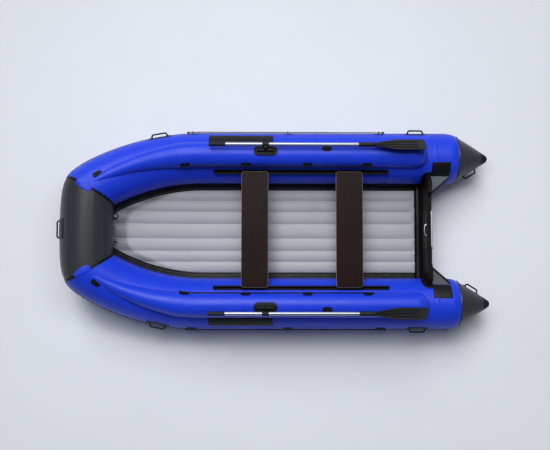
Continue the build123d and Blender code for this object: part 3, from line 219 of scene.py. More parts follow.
def nearest_on_tube(points):
    """Nearest point of the port tube's axis, and the distance to it.

    In the sloping plane the axis is a line aft of the bend and an arc of the bend's radius past it.
    """
    offset = points - np.array([BEND_X, TUBE_Y, TUBE_Z])
    ahead = offset[..., 0]
    inward = -offset[..., 1] * COS_TILT + offset[..., 2] * SIN_TILT
    turn = np.clip(np.arctan2(ahead, BEND_R - inward), 0.0, None)
    run = np.where(ahead < 0.0, ahead, turn * BEND_R)
    axis = tube_frame(run)[0]
    return axis, np.linalg.norm(points - axis, axis=-1)


def bow_point(turn, angle, radius):
    """Point around the bow tube's axis, an arc across the boat; angle is from the top, positive forward."""
    reach = BOW_CURVE_R + radius * np.sin(angle)
    return np.stack(
        [BOW_X - BOW_CURVE_R + reach * np.cos(turn), reach * np.sin(turn), BOW_Z + radius * np.cos(angle)], -1
    )


def bow_place(points):
    """Turn and angle around the bow tube's axis of given points, with their distance from it."""
    ahead = points[..., 0] - (BOW_X - BOW_CURVE_R)
    outward = np.hypot(ahead, points[..., 1]) - BOW_CURVE_R
    high = points[..., 2] - BOW_Z
    return np.arctan2(points[..., 1], ahead), np.arctan2(outward, high), np.hypot(outward, high)


def rounded(points):
    """Draws the outer corner of each bow seam in, so that air pressure rounds it.

    The pull falls off exponentially with the distance from the seam's plane and grows with the square
    of the distance outboard of the seam's middle.
    """
    port = points * np.array([1.0, 0.0, 1.0]) + np.abs(points) * np.array([0.0, 1.0, 0.0])
    from_middle = port - MITRE_POINT
    away = np.abs(from_middle @ MITRE_NORMAL)
    outboard = np.clip(from_middle @ MITRE_OUT / TUBE_R, 0.0, 1.1)
    pull = CORNER_PULL * np.exp(-away / CORNER_REACH) * outboard**2
    port = port - pull[..., None] * MITRE_OUT
    return np.stack([port[..., 0], port[..., 1] * np.sign(points[..., 1]), port[..., 2]], -1)


def crossing(sign, low, high, steps=40):
    """Values between low and high where sign changes from true to false, each halved into place."""
    low = np.array(low, float)
    high = np.array(high, float)
    for _ in range(steps):
        middle = (low + high) / 2
        keep = sign(middle)
        low = np.where(keep, middle, low)
        high = np.where(keep, high, middle)
    return (low + high) / 2


def mitre_run(angle, radius):
    """Run along the port tube at which the line at that angle meets the plane of the bow seam."""
    def behind(run):
        return (tube_point(run, angle, radius) - MITRE_POINT) @ MITRE_NORMAL < 0.0
    start = np.zeros_like(angle)
    return crossing(behind, start + RUN_LIMITS[0], start + RUN_LIMITS[1])


def bow_edge(angle):
    """Turn across the boat at which the bow tube's line at that angle meets the plane of the port bow seam."""
    def inside(turn):
        return (bow_point(turn, angle, TUBE_R) - MITRE_POINT) @ MITRE_NORMAL > 0.0
    return crossing(inside, 0 * angle, 0 * angle + BOW_TURN_LIMIT)


def seam_strip(angle, aft, fore, height, rows=25):
    """Closed strip over the bow seam at port, from aft of it on the side tube to ahead of it on the bow tube.

    Its height over the skins falls to nothing at both edges, and its underside lies just inside them.
    """
    end = mitre_run(angle, TUBE_R)
    turn, bow_angle, _ = bow_place(tube_point(end, angle, TUBE_R))
    share = np.linspace(-1, 1, rows)[:, None]
    top = GLUE_GAP / 2 + height * (1 - share**10)
    layers = []
    for raised in (top, np.where(np.asarray(height) > 0, -2 * GLUE_GAP, GLUE_GAP / 2) + 0 * top):
        on_side = tube_point(end + share * aft, angle + 0 * share, TUBE_R + raised)
        on_bow = bow_point(turn - share * fore / BOW_CURVE_R, bow_angle + 0 * share, TUBE_R + raised)
        layers.append(np.where(share[..., None] < 0, on_side, on_bow))
    return rounded(np.concatenate([layers[0], layers[1][::-1]]))


def swell(u, v, size, seed):
    """Gentle unevenness from -1 to 1: twelve sine waves of about one size in different directions, added up."""
    draw = np.random.default_rng(seed)
    total = np.zeros(np.broadcast(u, v).shape)
    least, most = (0, 0, 0.7), (math.tau, math.tau, 1.5)
    for heading, phase, stretch in draw.uniform(least, most, (12, 3)):
        along = u * math.cos(heading) + v * math.sin(heading)
        total = total + np.sin(along * math.tau / size / stretch + phase)
    return np.clip(total / 6.0, -1.0, 1.0)


def waves(along, spacing, shift):
    """Ripples from 0 to 1 at a spacing along a line, moved to and fro by a shift in radians."""
    return 0.5 + 0.5 * np.sin(along * math.tau / spacing + shift)


def turned(heights, radii, centre, axis, count=48):
    """Profile of heights and radii turned around an axis through a centre."""
    axis = np.asarray(axis, float) / np.linalg.norm(axis)
    first = np.cross(axis, np.roll(axis, 1) + np.array([0.31, 0.17, 0.0]))
    first /= np.linalg.norm(first)
    second = np.cross(axis, first)
    angle = np.linspace(0, math.tau, count, endpoint=False)[None, :, None]
    around = first * np.cos(angle) + second * np.sin(angle)
    return centre + np.asarray(heights)[:, None, None] * axis + np.asarray(radii)[:, None, None] * around


def smooth_step(low, high, value):
    """Rises from 0 to 1 between low and high, level at both ends."""
    t = np.clip((value - low) / (high - low), 0.0, 1.0)
    return t * t * (3.0 - 2.0 * t)


# Meshes from grids


def grid_faces(rows, columns, wrap_rows, wrap_columns):
    """Corner numbers of a grid's quads, its last row or column joined to its first where it wraps."""
    r = np.arange(rows if wrap_rows else rows - 1)[:, None]
    c = np.arange(columns if wrap_columns else columns - 1)[None, :]
    r2, c2 = (r + 1) % rows, (c + 1) % columns
    corners = [r * columns + c, r2 * columns + c, r2 * columns + c2, r * columns + c2]
    return np.stack([np.broadcast_to(k, (r.size, c.size)) for k in corners], -1).reshape(-1, 4)


def grid_mesh(name, grids, material):
    """Object with one mesh made of several grids.

    Each grid is (points, wrap_rows, wrap_columns, cap_ends) or that with two more arrays, the surface
    coordinates for the weave and a margin value. Doubles are merged and the faces turned outwards.
    """
    verts, faces, coords, margins, base = [], [], [], [], 0
    for grid in grids:
        points, wrap_rows, wrap_columns, cap_ends = grid[:4]
        uv = grid[4] if len(grid) > 4 else points[..., :2]
        margin = grid[5] if len(grid) > 5 else np.zeros(points.shape[:2])
        if cap_ends:
            ends = [np.broadcast_to(points[k].mean(axis=0), points[0].shape)[None] for k in (0, -1)]
            points = np.concatenate([ends[0], points, ends[1]])
            uv = np.concatenate([uv[:1], uv, uv[-1:]])
            margin = np.concatenate([margin[:1], margin, margin[-1:]])
        rows, columns = points.shape[:2]
        faces.append(grid_faces(rows, columns, wrap_rows, wrap_columns) + base)
        verts.append(points.reshape(-1, 3))
        coords.append(uv.reshape(-1, 2))
        margins.append(margin.reshape(-1))
        base += rows * columns
    verts, faces = np.concatenate(verts), np.concatenate(faces)
    mesh = bpy.data.meshes.new(name)
    mesh.vertices.add(len(verts))
    mesh.vertices.foreach_set("co", verts.ravel())
    mesh.loops.add(faces.size)
    mesh.loops.foreach_set("vertex_index", faces.ravel().astype(np.int32))
    mesh.polygons.add(len(faces))
    mesh.polygons.foreach_set("loop_start", np.arange(0, faces.size, 4, dtype=np.int32))
    mesh.polygons.foreach_set("loop_total", np.full(len(faces), 4, np.int32))
    mesh.update(calc_edges=True)
    layer = mesh.uv_layers.new(name="Surface")
    layer.data.foreach_set("uv", np.concatenate(coords)[faces.ravel()].astype(np.float32).ravel())
    tone = mesh.attributes.new("margin", "FLOAT", "POINT")
    tone.data.foreach_set("value", np.concatenate(margins).astype(np.float32))
    work = bmesh.new()
    work.from_mesh(mesh)
    bmesh.ops.remove_doubles(work, verts=work.verts, dist=2e-6)
    bmesh.ops.dissolve_degenerate(work, edges=work.edges, dist=1e-7)
    bmesh.ops.recalc_face_normals(work, faces=work.faces)
    work.to_mesh(mesh)
    work.free()
    mesh.polygons.foreach_set("use_smooth", np.ones(len(mesh.polygons), bool))
    mesh.materials.append(material)
    made = bpy.data.objects.new(name, mesh)
    bpy.context.scene.collection.objects.link(made)
    return made


def place(name, grids, material, replaces=()):
    """Makes a piece, lets it ride on the hull and hides the frame's pieces that it stands for."""
    made = grid_mesh(name, grids, MATERIALS[material])
    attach(made, "hull")
    if replaces:
        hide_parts(*replaces)


def to_side(points, side):
    """Port points as they are, or mirrored to starboard."""
    return points * np.array([1.0, side, 1.0])


def grid_to_side(grid, side):
    """Grid with its points as they are, or mirrored to starboard."""
    return (to_side(grid[0], side), *grid[1:])


def rounded_square(count_u, count_v, corner):
    """Grid of a square from -1 to 1 with its corners drawn in; corner 1 makes it a disc, 0 leaves it square."""
    u = np.linspace(-1, 1, count_u)[:, None]
    v = np.linspace(-1, 1, count_v)[None, :]
    return u * np.sqrt(1 - corner * v * v / 2), v * np.sqrt(1 - corner * u * u / 2), u, v


def patch_edge(u, v):
    """Thickness of a glued patch as a share: 1 over most of it, falling to 0 at the rim of its square."""
    return 1.0 - np.maximum(np.abs(u), np.abs(v)) ** 14


def tube_patch(run, angle, length, width, thickness, corner, counts=(24, 24)):
    """Grid of a flat patch glued around the tube: a rounded square on the skin, thinned to nothing at its edge."""
    a, b, u, v = rounded_square(*counts, corner)
    edge = patch_edge(u, v)
    runs = run + a * length / 2
    angles = angle + b * width / 2 / TUBE_R
    top = tube_point(runs, angles, TUBE_R + GLUE_GAP + thickness * edge)
    low = tube_point(runs, angles, TUBE_R + GLUE_GAP * np.ones_like(edge))
    uv = np.stack([runs, angles * TUBE_R], -1)
    return np.concatenate([top, low[::-1]]), True, False, False, np.concatenate([uv, uv[::-1]])


# Materials

MIX_A, MIX_B, MIX_RESULT = 6, 7, 2  # the colour sockets of a Mix node, which shares their names among its kinds
WAVE_TURN = math.tau / 20  # a Wave texture of scale 1 repeats at this distance
MATERIALS = {}


def add_node(tree, kind, settings=None, inputs=None, feeds=None):
    """Adds one node with its settings and links.

    inputs maps a socket to a value or to another node's output, and feeds maps an output to the socket
    that it goes to.
    """
    made = tree.nodes.new(kind)
    for name, value in (settings or {}).items():
        setattr(made, name, value)
    for name, value in (inputs or {}).items():
        if isinstance(value, bpy.types.NodeSocket):
            tree.links.new(value, made.inputs[name])
        else:
            made.inputs[name].default_value = value
    for name, socket in (feeds or {}).items():
        tree.links.new(made.outputs[name], socket)
    return made


def start_material(name, settings):
    """New material with one shader whose sockets hold the given uniform values."""
    made = bpy.data.materials.new(name)
    made.use_nodes = True
    tree = made.node_tree
    tree.nodes.clear()
    out = add_node(tree, "ShaderNodeOutputMaterial")
    shader = add_node(tree, "ShaderNodeBsdfPrincipled", inputs=settings, feeds={"BSDF": out.inputs["Surface"]})
    return made, tree, shader


def scaled(colour, share):
    """Colour with each channel multiplied by a share, up to white."""
    return (*(min(1.0, c * share) for c in colour[:3]), 1.0)


def mottle(tree, vector, colour, size_mm, amount):
    """Colour that wanders by the given share, in patches of about size_mm."""
    noise = add_node(tree, "ShaderNodeTexNoise", inputs={
        "Vector": vector, "Scale": 1000.0 / size_mm, "Detail": 3.0, "Roughness": 0.55})
    mix = add_node(tree, "ShaderNodeMix", {"data_type": "RGBA"}, {
        "Factor": noise.outputs["Fac"], MIX_A: scaled(colour, 1 - amount), MIX_B: scaled(colour, 1 + amount)})
    return mix.outputs[MIX_RESULT]


def coated_fabric(name, colour, roughness=0.42, coat=0.04, weave_mm=2.6, weave_depth=0.05, cloud=(140.0, 0.07)):
    """PVC-coated polyester: satin, with the base cloth showing faintly through the coat.

    cloud is the size in mm and the amount of the colour's unevenness.
    """
    made, tree, shader = start_material(name, {
        "Coat Weight": coat, "Coat Roughness": 0.3, "Specular IOR Level": 0.3, "IOR": 1.45})
    where = add_node(tree, "ShaderNodeTexCoord")
    tree.links.new(mottle(tree, where.outputs["Object"], colour, *cloud), shader.inputs["Base Color"])
    # Handling marks: patches a hand wide that are a little duller than the rest
    marks = add_node(tree, "ShaderNodeTexNoise", inputs={
        "Vector": where.outputs["Object"], "Scale": 1000.0 / 90.0, "Detail": 5.0, "Roughness": 0.6})
    add_node(tree, "ShaderNodeMapRange", inputs={
        "Value": marks.outputs["Fac"], "From Min": 0.3, "From Max": 0.7,
        "To Min": roughness - 0.05, "To Max": roughness + 0.07}, feeds={"Result": shader.inputs["Roughness"]})
    # Threads of the base cloth are 0.6 mm apart; they are drawn at weave_mm so that they show close up
    cloth = add_node(tree, "ShaderNodeMath", {"operation": "MULTIPLY"})
    for index, direction in enumerate("XY"):
        add_node(tree, "ShaderNodeTexWave", {"bands_direction": direction}, {
            "Vector": where.outputs["UV"], "Scale": WAVE_TURN / (weave_mm * MM)}, {"Fac": cloth.inputs[index]})
    # Grain of the coat, 9 mm across
    grain = add_node(tree, "ShaderNodeTexNoise", inputs={
        "Vector": where.outputs["Object"], "Scale": 1000.0 / 9.0, "Detail": 4.0})
    relief = add_node(tree, "ShaderNodeMath", {"operation": "MULTIPLY_ADD"}, {
        0: grain.outputs["Fac"], 1: 0.9, 2: cloth.outputs["Value"]})
    add_node(tree, "ShaderNodeBump", inputs={
        "Strength": 0.5, "Distance": weave_depth * MM, "Height": relief.outputs["Value"]},
        feeds={"Normal": shader.inputs["Normal"]})
    return made


def deck_fabric(name, deck, margin):
    """Grained PVC floor cloth: matt, with embossed lozenges on the cells and a smooth margin at the bow, whose
    darker colour is partly the margin cloth's own tone and partly painted shadow of the bow and side tubes.
    """
    made, tree, shader = start_material(name, {
        "Specular IOR Level": 0.35, "IOR": 1.53, "Coat Weight": 0.05, "Coat Roughness": 0.35})
    where = add_node(tree, "ShaderNodeTexCoord")
    share = add_node(tree, "ShaderNodeAttribute", {"attribute_name": "margin"})
    # The margin share mixes in the darker colour: smooth margin cloth, darkened further as painted shadow of the
    # tubes
    add_node(tree, "ShaderNodeMix", {"data_type": "RGBA"}, {
        "Factor": share.outputs["Fac"],
        MIX_A: mottle(tree, where.outputs["Object"], deck, 160.0, 0.05),
        MIX_B: mottle(tree, where.outputs["Object"], margin, 120.0, 0.08),
    }, {MIX_RESULT: shader.inputs["Base Color"]})
    add_node(tree, "ShaderNodeMapRange", inputs={
        "Value": share.outputs["Fac"], "To Min": 0.55, "To Max": 0.42}, feeds={"Result": shader.inputs["Roughness"]})
    # Embossed lozenges 4 mm across in the real cloth, drawn at 9 mm so that they show
    slanted = add_node(tree, "ShaderNodeMapping", inputs={
        "Vector": where.outputs["UV"], "Rotation": (0.0, 0.0, math.radians(45))})
    lozenge = add_node(tree, "ShaderNodeMath", {"operation": "MULTIPLY"})
    for index, direction in enumerate("XY"):
        add_node(tree, "ShaderNodeTexWave", {"bands_direction": direction}, {
            "Vector": slanted.outputs["Vector"], "Scale": WAVE_TURN / (9 * MM)}, {"Fac": lozenge.inputs[index]})
    fade = add_node(tree, "ShaderNodeMath", {"operation": "SUBTRACT"}, {0: 1.0, 1: share.outputs["Fac"]})
    emboss = add_node(tree, "ShaderNodeMath", {"operation": "MULTIPLY"}, {
        0: lozenge.outputs["Value"], 1: fade.outputs["Value"]})
    add_node(tree, "ShaderNodeBump", inputs={
        "Strength": 0.6, "Distance": 0.25 * MM, "Height": emboss.outputs["Value"]},
        feeds={"Normal": shader.inputs["Normal"]})
    return made


def film_plywood(name, film, across, ply_axis, veneer):
    """Film-faced birch plywood: dark phenolic film on the faces and veneers, 1.4 mm thick, on the edges.

    across is the axis that the grain runs along, ply_axis the one that the veneers are stacked along, and
    veneer the dark and the light colour of the edges, bare on the benches and painted on the transom.
    """
    made, tree, shader = start_material(name, {"Specular IOR Level": 0.08, "IOR": 1.45})
    where = add_node(tree, "ShaderNodeTexCoord")
    grain_at = add_node(tree, "ShaderNodeMapping", inputs={
        "Vector": where.outputs["Object"], "Scale": [3.0 if axis == across else 60.0 for axis in "XYZ"]})
    grain = add_node(tree, "ShaderNodeTexNoise", inputs={
        "Vector": grain_at.outputs["Vector"], "Scale": 1.0, "Detail": 6.0, "Roughness": 0.6})
    faces = add_node(tree, "ShaderNodeMix", {"data_type": "RGBA"}, {
        "Factor": grain.outputs["Fac"], MIX_A: scaled(film, 0.3), MIX_B: scaled(film, 2.0)})
    veneers = add_node(tree, "ShaderNodeTexWave", {"bands_direction": ply_axis}, {
        "Vector": where.outputs["Object"], "Scale": WAVE_TURN / (2.8 * MM), "Distortion": 0.6, "Detail Scale": 3.0})
    edge = add_node(tree, "ShaderNodeMix", {"data_type": "RGBA"}, {
        "Factor": veneers.outputs["Fac"], MIX_A: linear(veneer[0]), MIX_B: linear(veneer[1])})
    # Faces are told from edges by the direction they look in
    shape = add_node(tree, "ShaderNodeNewGeometry")
    parts = add_node(tree, "ShaderNodeSeparateXYZ", inputs={"Vector": shape.outputs["True Normal"]})
    flat = add_node(tree, "ShaderNodeMath", {"operation": "ABSOLUTE"}, {0: parts.outputs[ply_axis]})
    share = add_node(tree, "ShaderNodeMapRange", inputs={
        "Value": flat.outputs["Value"], "From Min": 0.9, "From Max": 0.97})
    add_node(tree, "ShaderNodeMix", {"data_type": "RGBA"}, {
        "Factor": share.outputs["Result"], MIX_A: edge.outputs[MIX_RESULT], MIX_B: faces.outputs[MIX_RESULT],
    }, {MIX_RESULT: shader.inputs["Base Color"]})
    add_node(tree, "ShaderNodeMapRange", inputs={
        "Value": grain.outputs["Fac"], "To Min": 0.34, "To Max": 0.52}, feeds={"Result": shader.inputs["Roughness"]})
    add_node(tree, "ShaderNodeBump", inputs={
        "Strength": 0.4, "Distance": 0.12 * MM, "Height": grain.outputs["Fac"]},
        feeds={"Normal": shader.inputs["Normal"]})
    return made


def moulded_plastic(name, hex_colour, roughness, grain_mm=1.2, depth=0.05, coat=0.0):
    """Injection-moulded or extruded plastic and rubber: fine spark-eroded grain and slightly uneven gloss."""
    made, tree, shader = start_material(name, {
        "Specular IOR Level": 0.22, "IOR": 1.5, "Coat Weight": coat, "Coat Roughness": 0.2})
    where = add_node(tree, "ShaderNodeTexCoord")
    tint = mottle(tree, where.outputs["Object"], linear(hex_colour), 25.0, 0.15)
    tree.links.new(tint, shader.inputs["Base Color"])
    grain = add_node(tree, "ShaderNodeTexNoise", inputs={
        "Vector": where.outputs["Object"], "Scale": 1000.0 / grain_mm, "Detail": 3.0})
    add_node(tree, "ShaderNodeMapRange", inputs={
        "Value": grain.outputs["Fac"], "To Min": roughness - 0.08, "To Max": roughness + 0.08},
        feeds={"Result": shader.inputs["Roughness"]})
    add_node(tree, "ShaderNodeBump", inputs={
        "Strength": 0.5, "Distance": depth * MM, "Height": grain.outputs["Fac"]},
        feeds={"Normal": shader.inputs["Normal"]})
    return made


def drawn_metal(name, hex_colour, roughness, line_axis):
    """Metal with the fine lines, 2.5 mm wide as drawn, that drawing or brushing leaves along one axis."""
    made, tree, shader = start_material(name, {"Metallic": 1.0})
    where = add_node(tree, "ShaderNodeTexCoord")
    lines_at = add_node(tree, "ShaderNodeMapping", inputs={
        "Vector": where.outputs["Object"], "Scale": [6.0 if axis == line_axis else 400.0 for axis in "XYZ"]})
    lines = add_node(tree, "ShaderNodeTexNoise", inputs={
        "Vector": lines_at.outputs["Vector"], "Scale": 1.0, "Detail": 4.0})
    base = linear(hex_colour)
    add_node(tree, "ShaderNodeMix", {"data_type": "RGBA"}, {
        "Factor": lines.outputs["Fac"], MIX_A: scaled(base, 0.88), MIX_B: base,
    }, {MIX_RESULT: shader.inputs["Base Color"]})
    add_node(tree, "ShaderNodeMapRange", inputs={
        "Value": lines.outputs["Fac"], "To Min": roughness - 0.07, "To Max": roughness + 0.1},
        feeds={"Result": shader.inputs["Roughness"]})
    add_node(tree, "ShaderNodeBump", inputs={
        "Strength": 0.3, "Distance": 0.03 * MM, "Height": lines.outputs["Fac"]},
        feeds={"Normal": shader.inputs["Normal"]})
    return made


def studio_floor(name):
    """Painted studio floor: pale, matt, with faint cloudiness a metre across."""
    made, tree, shader = start_material(name, {"Roughness": 0.95, "Specular IOR Level": 0.1})
    where = add_node(tree, "ShaderNodeTexCoord")
    tint = mottle(tree, where.outputs["Object"], linear("#dfe2e8"), 900.0, 0.03)
    tree.links.new(tint, shader.inputs["Base Color"])
    return made


class BOAT_OT_materials(bpy.types.Operator):
    """Makes the boat's materials"""

    bl_idname = "boat.materials"
    bl_label = "Materials"

    def execute(self, context):
        tones = context.scene.boat_colours
        MATERIALS.update({
            # Welded tube fabric: satin, evenly coloured
            "blue": coated_fabric("PVC-coated polyester, welded, blue", tones.blue),
            "dark": coated_fabric("PVC-coated polyester, welded, dark grey", tones.dark, roughness=0.36, coat=0.1),
            # Tapes and patches cut from duller cloth, and the knees' coarse grain, whose specks of light are painted
            # into its colour as a strong 9 mm mottle
            "black": coated_fabric("PVC-coated polyester, cut tape, black", tones.black, roughness=0.46, coat=0.05),
            "knee": coated_fabric("PVC-coated polyester, grained, grey", linear_rgb("#54595e"),
                                  roughness=0.55, coat=0.0, weave_mm=6.0, weave_depth=0.5, cloud=(9.0, 0.75)),
            "deck": deck_fabric("PVC floor cloth, embossed, grey", tones.deck, tones.deck_margin_and_shade),
            # Dark film with the birch grain pressed through, and light veneers along the benches' edges
            "seat": film_plywood("Birch plywood, film-faced, seat", tones.board, "Y", "Z", ("#77726c", "#b3afa9")),
            "transom": film_plywood("Birch plywood, film-faced, transom", tones.board, "Y", "X",
                                    ("#130f10", "#1c1617")),
            # Black parts: rubber and rope matt, nylon fittings satin, the blades with a faint shine
            "rubber": moulded_plastic("EPDM rubber, extruded, black", "#090a0c", 0.55, grain_mm=2.0, depth=0.08),
            "nylon": moulded_plastic("Nylon, injection-moulded, black", "#0d0e10", 0.5, depth=0.06),
            "eye": moulded_plastic("Nylon, injection-moulded, satin black", "#050607", 0.62, depth=0.04),
            "blade": moulded_plastic("Polypropylene, injection-moulded, black", "#111214", 0.42, 1.6, coat=0.05),
            "grip": moulded_plastic("Thermoplastic rubber, moulded, black", "#151b28", 0.6, 1.5, 0.08),
            "rope": moulded_plastic("Polypropylene, braided, black", "#0a0b0d", 0.75, 1.0, 0.1),
            "cap": moulded_plastic("Nylon, injection-moulded, grey", "#8a8f94", 0.4),
            # Bare metal: soft streaks of light along the direction it was drawn, rolled or turned in
            "shaft": drawn_metal("Aluminium, drawn and anodised", "#a4abb8", 0.42, "X"),
            "plate": drawn_metal("Aluminium, rolled sheet", "#b9bdc2", 0.4, "Y"),
            "lip": drawn_metal("Aluminium, dulled by handling", "#979ca3", 0.5, "Y"),
            "steel": drawn_metal("Stainless steel, turned", "#c4c6c8", 0.28, "Z"),
            "floor": studio_floor("Paint, rolled, pale grey"),
        })
        return {"FINISHED"}


# Pieces


def side_tube_relief(run, angle, end, sizes, seed):
    """Height of the skin over the round tube.

    It is the sum of a gentle swelling, puckers 40 mm apart that die out 45 mm from the bow seam, and folds
    85 mm apart on the inner side of the bend, whose waves are cubed so that they are narrow.
    """
    around = angle * TUBE_R
    bumps = sizes.swelling * (swell(run, around, 0.55, seed) - 1.0) * 0.5
    near_seam = np.exp(-(end - run) / 0.045)
    puckers = -sizes.pucker * near_seam * waves(around, 0.04, 2 * swell(run, around, 0.3, seed + 1))
    inside = np.exp(-((angle + math.radians(100)) / math.radians(38)) ** 2)
    in_bend = smooth_step(0.05, 0.3, run) * (1 - smooth_step(0.75, 0.98, run))
    narrow = waves(run, 0.085, 3 * swell(run, around, 0.4, seed + 2)) ** 3
    folds = -1.6 * sizes.pucker * inside * in_bend * narrow
    return bumps + puckers + folds


class BOAT_OT_side_tubes(bpy.types.Operator):
    """Skins of the two side tubes, mitred at the bow"""

    bl_idname = "boat.side_tubes"
    bl_label = "Side Tubes"

    def execute(self, context):
        sizes = context.scene.boat_sizes
        angle = np.linspace(-math.pi, math.pi, 128, endpoint=False)[None, :]
        end = mitre_run(angle, TUBE_R)
        start = CONE_X - BEND_X
        run = start + (end - start) * np.linspace(0, 1, 290)[:, None]
        # Aft of the taper the radius shrinks with the square of the distance, down to the cone's
        drawn_in = np.clip((TAPER_X - BEND_X - run) / (TAPER_X - CONE_X), 0, 1) ** 2
        for index, (name, side) in enumerate(SIDES):
            relief = side_tube_relief(run, angle, end, sizes, 11 + 7 * index)
            radius = TUBE_R - (TUBE_R - CONE_R) * drawn_in + relief * (1 - drawn_in)
            points = to_side(rounded(tube_point(run, angle + 0 * run, radius)), side)
            uv = np.stack([run, angle * TUBE_R + 0 * run], -1)
            place(f"side_tube_skin_{name}", [(points, False, True, True, uv)], "blue", [f"side_tube_{name}"])
        return {"FINISHED"}


class BOAT_OT_bow_tube(bpy.types.Operator):
    """Skin of the dark bow tube between its two seams, with the tapes over them"""

    bl_idname = "boat.bow_tube"
    bl_label = "Bow Tube"

    def execute(self, context):
        sizes = context.scene.boat_sizes
        # The second layer of fabric lies between two angles, and its edges get rows of their own
        layer = np.radians((-60, -24))
        steps = (layer[:, None] + np.radians((-0.6, -0.2, 0.2, 0.6))).ravel()
        angle = np.sort(np.concatenate([np.linspace(-math.pi, math.pi, 144, endpoint=False), steps]))[None, :]
        edge = bow_edge(angle)
        turn = edge * np.linspace(1, -1, 120)[:, None]
        across, around = turn * BOW_CURVE_R, angle * TUBE_R
        # Swelling, and puckers 45 mm apart that die out 40 mm from the seams
        near_seam = np.exp(-(edge - np.abs(turn)) * BOW_CURVE_R / 0.04)
        relief = sizes.swelling * (swell(across, around, 0.45, 31) - 1) * 0.5
        relief -= sizes.pucker * near_seam * waves(around, 0.045, 2 * swell(across, around, 0.3, 32))
        start, stop = (smooth_step(edge_at - 0.008, edge_at + 0.008, angle) for edge_at in layer)
        relief += sizes.seam_height * (start - stop)
        points = rounded(bow_point(turn, angle + 0 * turn, TUBE_R + relief))
        uv = np.stack([across, around + 0 * across], -1)
        place("bow_tube_skin", [(points, False, True, True, uv)], "dark", ["bow_tube"])
        angle = np.linspace(-math.pi, math.pi, 180, endpoint=False)[None, :]
        tape = seam_strip(angle, sizes.tape_width / 2, sizes.tape_width / 2, 1.2 * MM)
        for name, side in SIDES:
            place(f"bow_seam_tape_{name}", [(to_side(tape, side), True, True, False)], "black")
        return {"FINISHED"}


class BOAT_OT_bow_tabs(bpy.types.Operator):
    """Blue tongues of fabric that run over the bow seams onto the dark tube"""

    bl_idname = "boat.bow_tabs"
    bl_label = "Bow Tabs"

    length: bpy.props.FloatProperty(
        name="Length", description="Tongue beyond the seam", default=42 * MM, unit="LENGTH")
    width: bpy.props.FloatProperty(
        name="Width", description="Tongue around the tube", default=138 * MM, unit="LENGTH")

    def execute(self, context):
        # The outline of each tongue is nearly an ellipse
        across = np.linspace(-1, 1, 40)[None, :]
        reach = (1 - across**2) ** 0.45 + 0.02
        angle = math.radians(11) + across * self.width / 2 / TUBE_R
        strip = seam_strip(angle, 0.5 * self.length * reach, self.length * reach, 2.4 * MM * (1 - across**8))
        for name, side in SIDES:
            place(f"bow_tab_{name}", [(to_side(strip, side), True, False, False)], "blue")
        return {"FINISHED"}


